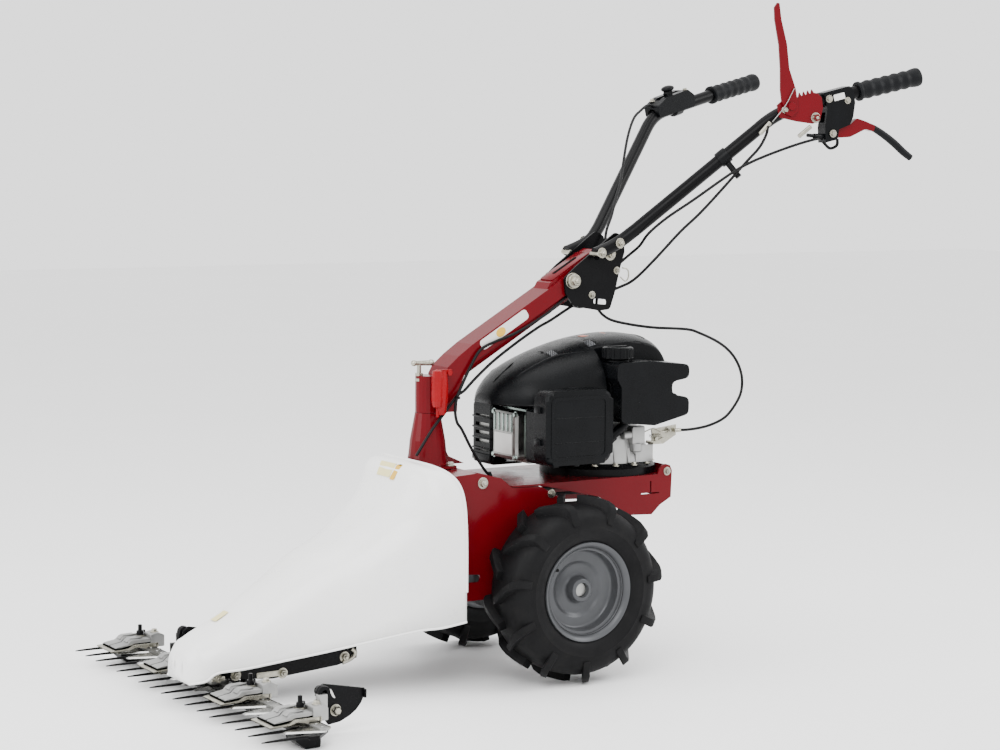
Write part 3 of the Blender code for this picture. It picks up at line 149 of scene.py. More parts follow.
FINISHES = {
    "red_paint": finish_of("red powder coat", (0.1, 0.0014, 0.0045), 0.20, shine=0.09, coat=0.07,
                           mottle=(7.0, 0.08), grain=(650.0, 0.10), wear=(0.05, 35.0), edge=0.0012),
    "black_paint": finish_of("black satin coat", (0.0026, 0.0026, 0.003), 0.27, shine=0.08,
                             mottle=(14.0, 0.25), grain=(900.0, 0.12), wear=(0.07, 40.0)),
    "black_plastic": finish_of("black moulding", (0.0026, 0.0029, 0.0034), 0.28, shine=0.09,
                               mottle=(22.0, 0.25), grain=(2600.0, 0.22), wear=(0.06, 45.0)),
    "white_plastic": finish_of("white moulding", (0.84, 0.84, 0.83), 0.30, coat=0.2,
                               mottle=(5.0, 0.03), grain=(260.0, 0.03), wear=(0.06, 20.0)),
    "red_plastic": finish_of("red moulding", (0.21, 0.0022, 0.005), 0.28, shine=0.12, coat=0.05,
                             mottle=(20.0, 0.10), grain=(1200.0, 0.08)),
    "tyre_rubber": finish_of("tyre rubber", (0.0034, 0.0034, 0.0038), 0.55, shine=0.10, mottle=(16.0, 0.30),
                             grain=(1500.0, 0.35), dirt=(0.009, 0.0085, 0.008), wear=(0.12, 30.0)),
    "rubber": finish_of("belt rubber", (0.006, 0.006, 0.006), 0.75, grain=(2000.0, 0.3)),
    "grip_rubber": finish_of("grip rubber", (0.0034, 0.0038, 0.0046), 0.48, shine=0.10,
                             mottle=(40.0, 0.25), grain=(2400.0, 0.35)),
    "rim_grey": finish_of("rim enamel", (0.060, 0.062, 0.066), 0.34, metallic=0.35, shine=0.2,
                          mottle=(12.0, 0.12), grain=(1200.0, 0.10), wear=(0.06, 30.0)),
    "steel": finish_of("machined steel", (0.27, 0.27, 0.26), 0.34, metallic=1.0,
                       mottle=(30.0, 0.18), grain=(1800.0, 0.15), wear=(0.10, 80.0)),
    "zinc": finish_of("zinc plate", (0.36, 0.345, 0.29), 0.30, metallic=0.9, mottle=(60.0, 0.22),
                      grain=(1400.0, 0.15), dirt=(0.20, 0.19, 0.12), wear=(0.10, 90.0)),
    "aluminium": finish_of("cast aluminium", (0.33, 0.33, 0.325), 0.46, metallic=0.9,
                           mottle=(30.0, 0.18), grain=(1100.0, 0.55), wear=(0.10, 60.0)),
    "cast_iron": finish_of("cast iron", (0.03, 0.03, 0.031), 0.58, shine=0.2, metallic=0.6,
                           mottle=(30.0, 0.25), grain=(900.0, 0.5)),
    "cable_black": finish_of("cable sleeve", (0.0034, 0.0034, 0.0038), 0.40, shine=0.14,
                             mottle=(60.0, 0.2), grain=(3000.0, 0.1), edge=0.0),
}
EXTRA = {
    # Near-black painted shade for holes, slots, hollows and gaps between parts; also the black print line on
    # the hood mark.
    "black_hole": finish_of("shadowed hollow", (0.0015, 0.0015, 0.0015), 0.85, shine=0.05, edge=0.0),
    "grille_grey": finish_of("grille sheet", (0.085, 0.088, 0.094), 0.28,
                             mottle=(60.0, 0.3), grain=(1800.0, 0.2)),
    "label_white": finish_of("printed white film", (0.62, 0.62, 0.60), 0.30,
                             mottle=(20.0, 0.03), grain=(2000.0, 0.03), edge=0.0),
    "label_pale": finish_of("pale yellow film", (0.72, 0.64, 0.30), 0.32,
                            mottle=(20.0, 0.04), grain=(2000.0, 0.03), edge=0.0),
    "label_yellow": finish_of("printed yellow film", (0.62, 0.36, 0.015), 0.32,
                              mottle=(20.0, 0.05), grain=(2000.0, 0.03), edge=0.0),
    "orange": finish_of("orange moulding", (0.50, 0.075, 0.005), 0.35,
                        mottle=(30.0, 0.08), grain=(1500.0, 0.08)),
    "bright_steel": finish_of("bright knife steel", (0.40, 0.40, 0.39), 0.24, metallic=1.0,
                              mottle=(50.0, 0.15), grain=(2200.0, 0.12), wear=(0.08, 120.0)),
    "cover_green": finish_of("tinted cover plate", (0.30, 0.36, 0.335), 0.28, metallic=0.9,
                             mottle=(40.0, 0.15), grain=(900.0, 0.1)),
}


def colour_nodes():
    """Gives every carried-over CAD node the finish of its own slot."""
    slots = {row["node"]: row["material_slot"] for row in frame["record"]["subparts"]}
    for name, thing in frame["nodes"].items():
        finish = FINISHES[slots[name]]
        if not thing.material_slots:
            thing.data.materials.append(finish)
        for place in thing.material_slots:
            place.material = finish


# ---------------------------------------------------------------- mesh helpers
def piece(name, shape, finish, body="chassis", slot=None, smooth=40.0):
    """Turns a bmesh into a named object that rides on a body, or on none when no body is given."""
    bmesh.ops.recalc_face_normals(shape, faces=shape.faces)
    mesh = bpy.data.meshes.new(name)
    shape.to_mesh(mesh)
    shape.free()
    thing = bpy.data.objects.new(name, mesh)
    bpy.context.scene.collection.objects.link(thing)
    thing.data.materials.append(FINISHES.get(finish) or EXTRA[finish])
    mesh.shade_smooth()
    mesh.set_sharp_from_angle(angle=math.radians(smooth))
    if body:
        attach(thing, body)
    return thing


def build(name, finish, *parts, **options):
    """A piece made of parts, each a helper below with the values that follow its shape."""
    shape = bmesh.new()
    for helper, *values in parts:
        helper(shape, *values)
    return piece(name, shape, finish, **options)


def pair(name, shape, finish, body, smooth=40.0):
    """Puts a finer shape and its mirror image in place of the left and right CAD nodes."""
    for side, made in (("left", shape), ("right", mirrored(shape))):
        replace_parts(piece(f"fine_{name}_{side}", made, finish, body, smooth=smooth), f"{name}_{side}")


def mirrored(shape):
    """The same mesh on the other side of the machine."""
    copy = shape.copy()
    bmesh.ops.transform(copy, matrix=Matrix.Scale(-1, 4, (0, 1, 0)), verts=copy.verts)
    return copy


def aim(direction, centre=(0, 0, 0)):
    """A matrix whose Z runs along direction and whose origin is centre."""
    turn = Vector(direction).to_track_quat("Z", "Y").to_matrix().to_4x4()
    return Matrix.Translation(centre) @ turn


def basis(x_axis, y_axis, z_axis, centre):
    """A matrix with the given axes and origin."""
    matrix = Matrix((x_axis, y_axis, z_axis)).transposed().to_4x4()
    matrix.translation = centre
    return matrix


def facing(y, side=1):
    """A matrix that lays an outline in the XZ plane at y and pushes it along side * Y."""
    return Matrix(((1, 0, 0, 0), (0, 0, side, y), (0, 1, 0, 0), (0, 0, 0, 1)))


def join(shape, rings):
    """Adds the skin through equal rings of vertices, with both ends closed."""
    shape.faces.new(rings[0][::-1])
    shape.faces.new(rings[-1])
    for a, b in zip(rings, rings[1:]):
        for k in range(len(a)):
            j = (k + 1) % len(a)
            shape.faces.new([a[k], a[j], b[j], b[k]])
    return shape


def sheet(shape, rows):
    """Adds the faces between neighbouring rows of vertices."""
    for a, b in zip(rows, rows[1:]):
        for j in range(len(a) - 1):
            shape.faces.new([a[j], a[j + 1], b[j + 1], b[j]])


def patch(shape, along, across, point):
    """Adds a grid of faces over the spots point(i, j)."""
    sheet(shape, [[shape.verts.new(point(i, j)) for j in range(across + 1)] for i in range(along + 1)])


def circle(count, wide, tall=None):
    """Points round a circle, or an oval where tall is given."""
    tall = tall or wide
    return [(wide * math.cos(a), tall * math.sin(a)) for a in (2 * math.pi * k / count for k in range(count))]


def rounded(outline, radius, steps=6):
    """The outline with each corner replaced by a short arc."""
    result = []
    for i, (x, y) in enumerate(outline):
        here = Vector((x, y))
        back = (Vector(outline[i - 1]) - here).normalized()
        ahead = (Vector(outline[(i + 1) % len(outline)]) - here).normalized()
        start, end = here + back * radius, here + ahead * radius
        for step in range(steps + 1):
            t = step / steps
            result.append(tuple(start.lerp(here, t).lerp(here.lerp(end, t), t)))
    return result


def oblong(x0, y0, x1, y1, radius, steps=6):
    """A rectangle with rounded corners."""
    return rounded([(x0, y0), (x1, y0), (x1, y1), (x0, y1)], radius, steps)


def revolve(shape, profile, matrix, sides=64):
    """Adds a closed loop of (radius, height) points turned about the matrix's Z."""
    rings = []
    for radius, height in profile:
        if radius == 0:
            rings.append([shape.verts.new(matrix @ Vector((0, 0, height)))] * sides)
        else:
            rings.append([shape.verts.new(matrix @ Vector((*p, height))) for p in circle(sides, radius)])
    for k, ring in enumerate(rings):
        ahead = rings[(k + 1) % len(rings)]
        for i in range(sides):
            j = (i + 1) % sides
            corners = list(dict.fromkeys([ring[i], ring[j], ahead[j], ahead[i]]))
            if len(corners) > 2:
                shape.faces.new(corners)
    return shape


def rod(shape, start, end, radius, sides=24, chamfer=0.0005):
    """Adds a straight bar with chamfered ends."""
    start, end = Vector(start), Vector(end)
    length = (end - start).length
    chamfer = min(chamfer, radius / 3, length / 3)
    profile = [(0, 0), (radius - chamfer, 0), (radius, chamfer), (radius, length - chamfer),
               (radius - chamfer, length), (0, length)]
    return revolve(shape, profile, aim(end - start, start), sides)


def slab(shape, outline, matrix, thickness, bevel=0.0):
    """Adds a flat plate: the outline in the matrix's XY plane, pushed along its Z."""
    low = [shape.verts.new(matrix @ Vector((x, y, 0))) for x, y in outline]
    high = [shape.verts.new(matrix @ Vector((x, y, thickness))) for x, y in outline]
    join(shape, [low, high])
    if bevel:
        edges = [e for e in shape.edges if e.verts[0] in high and e.verts[1] in high]
        bmesh.ops.bevel(shape, geom=edges, offset=bevel, segments=2, affect="EDGES", profile=0.5)
    return shape


def brick(shape, low, high, bevel=0.0006):
    """Adds a box with rounded edges."""
    low, high = Vector(low), Vector(high)
    made = bmesh.ops.create_cube(shape, size=1.0)["verts"]
    for corner in made:
        corner.co = Vector(low[k] + (high[k] - low[k]) * (corner.co[k] + 0.5) for k in range(3))
    edges = list(dict.fromkeys(e for v in made for e in v.link_edges))
    bmesh.ops.bevel(shape, geom=edges, offset=bevel, segments=2, affect="EDGES", profile=0.5)
    return shape


def curve(a, b, c, d, t):
    """The Catmull-Rom value between b and c, of numbers or vectors."""
    return 0.5 * (2 * b + (c - a) * t + (2 * a - 5 * b + 4 * c - d) * t**2 + (3 * b - a - 3 * c + d) * t**3)


def smooth_route(knots, steps=6):
    """Points on a smooth curve through the knots."""
    knots = [Vector(k) for k in knots]
    padded = [2 * knots[0] - knots[1]] + knots + [2 * knots[-1] - knots[-2]]
    spans = [padded[i : i + 4] for i in range(len(knots) - 1)]
    return [curve(*span, step / steps) for span in spans for step in range(steps)] + [knots[-1]]


def tube(shape, route, radius, sides=12):
    """Adds a round bar swept along a route. radius may be a function of the way along, 0 to 1."""
    route = [Vector(p) for p in route]
    side = Vector((0, 1, 0))
    rings = []
    last = len(route) - 1
    for i, here in enumerate(route):
        along = (route[min(i + 1, last)] - route[max(i - 1, 0)]).normalized()
        if side.cross(along).length < 0.05:
            side = Vector((1, 0, 0))
        side = (side - along * side.dot(along)).normalized()
        up = along.cross(side)
        size = radius(i / last) if callable(radius) else radius
        rings.append([shape.verts.new(here + size * (c * side + s * up)) for c, s in circle(sides, 1)])
    return join(shape, rings)


def wire(shape, knots, radius, sides=8, steps=6):
    """Adds a round bar along a smooth curve through the knots."""
    return tube(shape, smooth_route(knots, steps), radius, sides)


def swell(thin, more):
    """A radius that grows from thin at both ends by more in the middle."""
    return lambda t: thin + more * math.sin(math.pi * t)


def bolt(shape, centre, normal, across=0.013, stud=0.0, washer=True):
    """Adds a hexagon head on its washer, with a domed chamfer."""
    radius = across / math.sqrt(3)
    matrix = aim(normal, centre)
    lift = 0.0
    if washer:
        lift = 0.0012
        flat = across * 0.80
        revolve(shape, [(0, 0), (flat, 0), (across * 0.84, 0.0005), (flat, lift), (0, lift)], matrix, 28)
    height = across * 0.50
    join(shape, [[shape.verts.new(matrix @ Vector((*p, level))) for p in circle(6, radius * scale)]
                 for scale, level in ((1.0, lift), (1.0, lift + height * 0.82), (0.88, lift + height))])
    if stud:
        top = lift + height + stud
        revolve(shape, [(0, lift), (radius * 0.5, lift), (radius * 0.5, top), (radius * 0.38, top + 0.001),
                        (0, top + 0.001)], matrix, 20)
    return shape


# ---------------------------------------------------------------- wheels
def tyre_shape():
    """A rounded carcass with moulded side rings and slanted traction bars."""
    half = [
        (0.0815, 0.043), (0.088, 0.0452), (0.0925, 0.0478), (0.0975, 0.0512), (0.103, 0.054),
        (0.11, 0.0556), (0.118, 0.0562), (0.1195, 0.057), (0.121, 0.0562), (0.13, 0.0558),
        (0.138, 0.0544), (0.144, 0.0518), (0.15, 0.047), (0.1545, 0.04), (0.1575, 0.03),
        (0.1592, 0.018), (0.16, 0.0),
    ]
    inner = [(0.15, 0.0), (0.146, 0.037), (0.116, 0.046), (0.0815, 0.034)]
    profile = half + [(r, -t) for r, t in half[-2::-1] + inner[:0:-1]] + inner
    shape = revolve(bmesh.new(), profile, aim((0, 1, 0), (0, WHEEL_Y, WHEEL_RADIUS)), 88)
    for side in (-1, 1):
        for k in range(LUG_COUNT):
            turn = 2 * math.pi * (k + 0.25 * (side + 1)) / LUG_COUNT
            add_lug(shape, -math.pi / 2 + math.radians(5) + turn, side)
    return shape


def add_lug(shape, middle, side):
    """One traction bar: from the middle of the tread out over the shoulder, wider at its foot."""
    stations = [
        (-0.003, 0.0, 0.156, 0.1744, 0.085), (0.01, 0.055, 0.156, 0.1744, 0.085),
        (0.024, 0.12, 0.154, 0.1738, 0.088), (0.038, 0.18, 0.15, 0.1722, 0.092),
        (0.048, 0.22, 0.145, 0.168, 0.096), (0.0545, 0.24, 0.138, 0.161, 0.098),
        (0.0568, 0.245, 0.133, 0.15, 0.092), (0.0572, 0.247, 0.129, 0.139, 0.085),
    ]
    rings = []
    for across, lean, low, high, width in stations:
        ring = []
        crown = high - 0.0016
        for radius, share in ((low, -0.62), (crown, -0.50), (high, -0.42),
                              (high, 0.42), (crown, 0.50), (low, 0.62)):
            angle = middle + lean + share * width * 0.98
            ring.append(shape.verts.new((radius * math.cos(angle), WHEEL_Y + side * across,
                                         WHEEL_RADIUS + radius * math.sin(angle))))
        rings.append(ring)
    join(shape, rings)


def rim_shape():
    """Deep pressed rim with rolled flange, stepped disc and hub tube."""
    profile = [
        (0.0924, 0.052), (0.0932, 0.0505), (0.093, 0.0478), (0.0905, 0.0465), (0.086, 0.046),
        (0.0812, 0.0425), (0.08, 0.038), (0.08, -0.038), (0.0812, -0.0425), (0.086, -0.046),
        (0.093, -0.0478), (0.0924, -0.052), (0.086, -0.0505), (0.078, -0.044), (0.0745, -0.038),
        (0.0745, 0.002), (0.056, 0.002), (0.048, 0.0), (0.0225, -0.001), (0.0215, -0.029),
        (0.02, -0.03), (0.014, -0.03), (0.0135, -0.029), (0.0135, 0.029), (0.0142, 0.03),
        (0.0205, 0.03), (0.0218, 0.0288), (0.0225, 0.013), (0.025, 0.0085), (0.03, 0.007),
        (0.044, 0.0075), (0.049, 0.0095), (0.052, 0.013), (0.055, 0.0142), (0.068, 0.0145),
        (0.0715, 0.0158), (0.0738, 0.0195), (0.0752, 0.03), (0.0756, 0.035), (0.0795, 0.0362),
        (0.0805, 0.04), (0.083, 0.045), (0.087, 0.05),
    ]
    return revolve(bmesh.new(), profile, aim((0, 1, 0), (0, WHEEL_Y, WHEEL_RADIUS)), 96)


def wheels():
    """Tyres, rims and their valve stems."""
    pair("tyre", tyre_shape(), "tyre_rubber", "drive_axle", 32)
    pair("wheel_rim", rim_shape(), "rim_grey", "drive_axle", 50)
    valves = bmesh.new()
    for side in (-1, 1):
        spot = Vector((0.052, side * (WHEEL_Y + 0.0135), WHEEL_RADIUS + 0.040))
        rod(valves, spot, spot + Vector((0.002, side * 0.016, 0.002)), 0.0028, 14)
    piece("valve_stems", valves, "tyre_rubber", "drive_axle")


# ---------------------------------------------------------------- moulded shells
def vault_point(station, angle):
    """A point of a vault's section: (x, half width, bottom z, top z, slant, squareness)."""
    x, half, low, top, slant, power = station
    c, s = math.cos(angle), math.sin(angle)
    rise = abs(s) ** (2 / power)
    y = half * math.copysign(abs(c) ** (2 / power), c)
    return Vector((x + slant * s**6, y, low + (top - low) * rise))


def section(stations, x):
    """The section at x, read between its two neighbours."""
    for a, b in zip(stations, stations[1:]):
        if min(a[0], b[0]) <= x <= max(a[0], b[0]):
            t = (x - a[0]) / (b[0] - a[0])
            return tuple(p + (q - p) * t for p, q in zip(a, b))
    return stations[-1]


def eased(stations, steps=6):
    """The stations with smooth ones added between them."""
    dense = []
    last = len(stations) - 1
    for i in range(last):
        around = [stations[max(i - 1, 0)], stations[i], stations[i + 1], stations[min(i + 2, last)]]
        dense += [tuple(curve(*values, step / steps) for values in zip(*around)) for step in range(steps)]
    return dense + [stations[-1]]


def vault(stations, arc, limit=None):
    """A skin over the stations, closed at its last one. limit may move a point."""
    shape = bmesh.new()
    rows = []
    for station in stations:
        row = []
        for j in range(arc + 1):
            spot = vault_point(station, math.pi * (j / arc))
            if j in (0, arc):
                spot.z = station[2]
                spot.x = station[0]
            row.append(shape.verts.new(limit(spot) if limit else spot))
        rows.append(row)
    sheet(shape, rows)
    shape.faces.new(rows[-1])
    return shape, rows


def moulding(name, shape, finish, thickness, smooth, cad_node):
    """Puts an open skin with real thickness, its faces turned outwards, in place of a CAD node."""
    skin = piece(name, shape, finish, smooth=smooth)
    mesh = skin.data
    middle = sum((v.co for v in mesh.vertices), Vector()) / len(mesh.vertices)
    if sum((p.center - middle).dot(p.normal) * p.area for p in mesh.polygons) < 0:
        mesh.flip_normals()
    thick = skin.modifiers.new("thickness", "SOLIDIFY")
    thick.thickness = thickness
    thick.offset = -1.0
    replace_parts(skin, cad_node)


HOOD_STATIONS = [
    (0.218, 0.163, 0.127, 0.412, 0.040, 5.4), (0.264, 0.154, 0.119, 0.405, 0.026, 5.0),
    (0.309, 0.144, 0.116, 0.346, 0.012, 4.0), (0.400, 0.124, 0.1015, 0.286, 0.0, 3.2),
    (0.475, 0.107, 0.089, 0.252, 0.0, 2.8), (0.550, 0.091, 0.078, 0.202, 0.0, 2.6),
    (0.625, 0.080, 0.0685, 0.152, 0.0, 2.6), (0.672, 0.0724, 0.065, 0.1277, 0.0, 2.75),
    (0.690, 0.0678, 0.053, 0.1187, 0.0, 2.85), (0.702, 0.061, 0.049, 0.113, 0.0, 3.0),
    (0.716, 0.046, 0.045, 0.096, 0.0, 3.2),
]


def hood():
    """White hood: a smooth skin with rolled edges, plain stickers, nose ribs and feet."""
    moulding("hood_shell", vault(eased(HOOD_STATIONS), 64)[0], "white_plastic", 0.0038, 50, "hood")
    rim = bmesh.new()
    rear = [vault_point(HOOD_STATIONS[0], math.pi * (0.004 + 0.992 * j / 60)) for j in range(61)]
    tube(rim, rear, 0.0024, 10)
    for side in (0, 1):
        edge = []
        for station in eased(HOOD_STATIONS):
            spot = vault_point(station, math.pi * side)
            edge.append((spot.x, spot.y, station[2] + 0.0015))
        tube(rim, edge, 0.0022, 10)
    piece("hood_rolled_edges", rim, "white_plastic")

    sticker("hood_mark_top", 0.247, 0.037, (0.4845, 0.4950), "label_yellow")
    sticker("hood_mark_top_line", 0.250, 0.014, (0.4875, 0.4925), "black_hole", 0.0020)
    sticker("hood_mark_pale", 0.252, 0.030, (0.4965, 0.5060), "label_pale")
    sticker("hood_mark_nose", 0.618, 0.026, (0.50, 0.56), "label_pale")
    build("hood_nose_ribs", "white_plastic", *(
        (wire, [(0.7152, y, 0.060), (0.7180, y, 0.072), (0.7152, y, 0.084)], 0.0022, 10)
        for y in (-0.016, 0.016)))
    for side, name in ((-1, "right"), (1, "left")):
        y = side * 0.0630
        build(f"hood_foot_{name}", "zinc",
              (brick, (0.656, y - 0.004, 0.0505), (0.682, y + 0.004, 0.0590), 0.002),
              (bolt, (0.669, side * 0.0672, 0.0545), (0, side, 0), 0.008))


def sticker(name, start, length, shares, finish, lift=0.0016):
    """A thin plain label on the hood, from x = start and between two shares of the section."""
    def point(i, j):
        station = section(HOOD_STATIONS, start + length * i / 8)
        spot = vault_point(station, math.pi * (shares[0] + (shares[1] - shares[0]) * j / 8))
        return spot + (spot - Vector((spot.x, 0, station[2]))).normalized() * lift

    build(name, finish, (patch, 8, 8, point), slot="white_plastic")


# ---------------------------------------------------------------- engine
COWL_STATIONS = [
    (0.088, 0.030, 0.5080, 0.5260, 0.0, 2.2), (0.070, 0.058, 0.5065, 0.5490, 0.0, 2.2),
    (0.030, 0.092, 0.5060, 0.5770, 0.0, 2.2), (-0.040, 0.112, 0.5060, 0.6050, 0.0, 2.3),
    (-0.120, 0.124, 0.5060, 0.6250, 0.0, 2.4), (-0.200, 0.125, 0.5060, 0.6325, 0.0, 2.5),
    (-0.255, 0.112, 0.5060, 0.6250, 0.0, 2.5), (-0.285, 0.086, 0.5060, 0.6080, 0.0, 2.4),
    (-0.300, 0.050, 0.5060, 0.5860, 0.0, 2.2),
]
TANK_FRONT, TANK_SIDE = -0.1140, 0.0720


def cowl_frame(x, share, lift=0.0):
    """A matrix on the cowl, its Z square to it: share 0 is the left base line, 0.5 the crown."""
    spot = vault_point(section(COWL_STATIONS, x), math.pi * share)
    along = vault_point(section(COWL_STATIONS, x - 0.002), math.pi * share) - spot
    across = vault_point(section(COWL_STATIONS, x), math.pi * (share + 0.01)) - spot
    normal = across.cross(along).normalized()
    if normal.z < 0:
        normal = -normal
    return aim(normal, spot + normal * lift)


def on_cowl(x, share, lift=0.0):
    """A point over the cowl."""
    return cowl_frame(x, share, lift).to_translation()


def cowl_base(side, pitch, count):
    """Points along the cowl's lower edge from its nose back."""
    spots = [0.078 - pitch * j for j in range(count)]
    return [(x, side * (section(COWL_STATIONS, x)[1] + 0.0002), 0.5085) for x in spots]


def clear_of_tank(spot):
    """Pulls the cowl's side in beside the fuel tank."""
    if spot.x < TANK_FRONT and spot.y > TANK_SIDE:
        spot.y = TANK_SIDE
    return spot


def cowl():
    """The black cowl with its ridges, grilles, hollows, vents, orange inset, base bead and latch; the grille
    holes, hollows and vents are painted shade.
    """
    dense = [s for s in eased(COWL_STATIONS) if abs(s[0] - TANK_FRONT) > 0.004]
    edge = section(COWL_STATIONS, TANK_FRONT)
    dense += [(TANK_FRONT + 0.0004, *edge[1:]), (TANK_FRONT - 0.0002, *edge[1:])]
    dense.sort(key=lambda s: -s[0])
    shape, rows = vault(dense, 72, clear_of_tank)
    shape.faces.new(rows[0][::-1])
    bmesh.ops.dissolve_degenerate(shape, dist=0.00002, edges=shape.edges)
    moulding("cowl_shell", shape, "black_plastic", 0.0035, 38, "engine_cowl")

    ribs = bmesh.new()
    for share in (0.30, 0.70):
        route = [on_cowl(0.055 - 0.0105 * i, share + 0.05 * math.sin(i / 5), 0.0004) for i in range(22)]
        tube(ribs, [p for p in route if p.x > -0.108 or p.y < 0.07], swell(0.0008, 0.0022), 10)
    piece("cowl_ridges", ribs, "black_plastic")

    grille, hole_shade = bmesh.new(), bmesh.new()
    for front, rear, low, high, across in ((0.004, -0.060, 0.345, 0.430, 7),
                                           (-0.068, -0.142, 0.350, 0.415, 5)):
        def point(i, j):
            taper = 0.010 * abs(i / 7 - 1) ** 3
            share = low + taper + (high - low - 2 * taper) * j / 8
            return on_cowl(front + (rear - front) * i / 14, share, 0.0004)

        patch(grille, 14, 8, point)
        for i in range(14):
            for j in range(across):
                x = front + (rear - front) * (i + 0.65 + 0.35 * (j % 2)) / 14.6
                share = low + (high - low) * (j + 0.8) / (across + 0.6)
                slab(hole_shade, circle(6, 0.0014), cowl_frame(x, share, 0.0005), 0.0003)
    piece("cowl_grille_sheet", grille, "grille_grey", slot="black_plastic")
    # The grille holes are dark discs of painted shade on the sheet, not cut through.
    piece("cowl_grille_hole_shade", hole_shade, "black_hole", slot="black_plastic")

    # Two hollows and a crescent groove drawn as dark painted shade on the cowl's skin.
    crescent = [(0.016, 0.505), (0.030, 0.487), (0.044, 0.472), (0.056, 0.462), (0.066, 0.455),
                (0.074, 0.440)]
    build("cowl_recess_shade", "black_hole",
          (slab, circle(28, 0.0105, 0.0055), cowl_frame(-0.028, 0.462, -0.0004), 0.0010),
          (slab, circle(28, 0.0110, 0.0050), cowl_frame(-0.098, 0.520, -0.0004), 0.0010),
          (wire, [on_cowl(*spot) for spot in crescent], swell(0.0006, 0.0017), 10), slot="black_plastic")
    # Vent slots drawn as dark strokes of painted shade on the cowl's skin.
    build("cowl_vent_shade", "black_hole", *(
        (tube, [on_cowl(-0.232 - 0.010 * k, 0.52 - 0.024 * j) for j in range(6)], 0.0017, 8)
        for k in range(4)), slot="black_plastic")
    build("cowl_orange_inset", "orange",
          (patch, 5, 5, lambda i, j: on_cowl(-0.128 - 0.011 * i, 0.478 + 0.032 * j / 5, 0.0012)),
          slot="red_plastic")
    build("cowl_base_bead", "black_plastic",
          (tube, [p for p in cowl_base(1, 0.0040, 49) if p[0] > TANK_FRONT], 0.0020, 8),
          (tube, cowl_base(-1, 0.0065, 58), 0.0020, 8))
    build("cowl_latch", "black_plastic",
          (brick, (-0.046, 0.1135, 0.536), (-0.020, 0.1185, 0.542), 0.001),
          (brick, (-0.030, 0.1160, 0.534), (-0.012, 0.1200, 0.5385), 0.001))


def frame_ring(shape, outer, inner, low, high):
    """A flat ring between two outlines in the XZ plane, from y = low to high."""
    count = len(outer)
    outer_low, outer_high, inner_low, inner_high = [
        [shape.verts.new((x, y, z)) for x, z in outline] for outline in (outer, inner) for y in (low, high)]
    for a, b in ((outer_low, outer_high), (outer_high, inner_high), (inner_high, inner_low),
                 (inner_low, outer_low)):
        for i in range(count):
            j = (i + 1) % count
            shape.faces.new([a[i], a[j], b[j], b[i]])


def filter_details():
    """The air filter's rounded cover with its inset panel, ribs and clips."""
    low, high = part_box("air_filter_cover")
    y = high.y
    build("filter_panel", "black_plastic",
          (frame_ring, oblong(-0.086, 0.412, 0.040, 0.530, 0.014), oblong(-0.080, 0.418, 0.034, 0.524, 0.010),
           y - 0.0006, y + 0.0011),
          *((tube, [(-0.078, y - 0.0002, z), (0.032, y - 0.0002, z + 0.001)], 0.0011, 8)
            for z in (0.444, 0.490)))
    shell = slab(bmesh.new(), oblong(low.x, low.z, high.x, high.z, 0.024, 8), facing(low.y), high.y - low.y)
    rim = [e for e in shell.edges if all(v.co.y > high.y - 0.0001 for v in e.verts)]
    bmesh.ops.bevel(shell, geom=rim, offset=0.009, segments=5, affect="EDGES", profile=0.5)
    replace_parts(piece("filter_cover", shell, "black_plastic", smooth=35), "air_filter_cover")
    build("filter_clips", "black_plastic",
          *((brick, (x - 0.006, y - 0.030, 0.3975), (x + 0.006, y - 0.010, 0.4045), 0.0012)
            for x in (-0.070, -0.024, 0.022)),
          *((brick, (0.050, 0.132, z), (0.0565, 0.150, z + 0.012), 0.0012) for z in (0.440, 0.500)))


def round_base(radius, degrees, z):
    """A spot round the engine's upright axis."""
    angle = math.radians(degrees)
    return Vector((ENGINE_X + radius * math.cos(angle), radius * math.sin(angle), z))


def base_details():
    """Bolts, ribs and rim of the crankcase foot."""
    spots = [round_base(0.1045, 22.5 * k + 8, 0.3835) for k in range(16)]
    build("base_bolts", "zinc", *((bolt, spot, UP, 0.009) for spot in spots if spot.x >= -0.262))
    build("crankcase_ribs", "aluminium", *(
        (tube, [round_base(0.099, 18 * k + 4, 0.388), round_base(0.084, 18 * k + 4, 0.442)], 0.0026, 8)
        for k in range(20)))
    flange = revolve(bmesh.new(), [(0.1131, 0.3640), (0.1137, 0.3640), (0.1137, 0.3778), (0.1080, 0.3830),
                                   (0.0995, 0.3870), (0.0985, 0.3866), (0.1075, 0.3824), (0.1131, 0.3772)],
                     Matrix.Translation((ENGINE_X, 0, 0)), 72)
    for vert in flange.verts:
        vert.co.x = max(vert.co.x, BASE_REAR_X)
    piece("base_flange", flange, "black_paint")


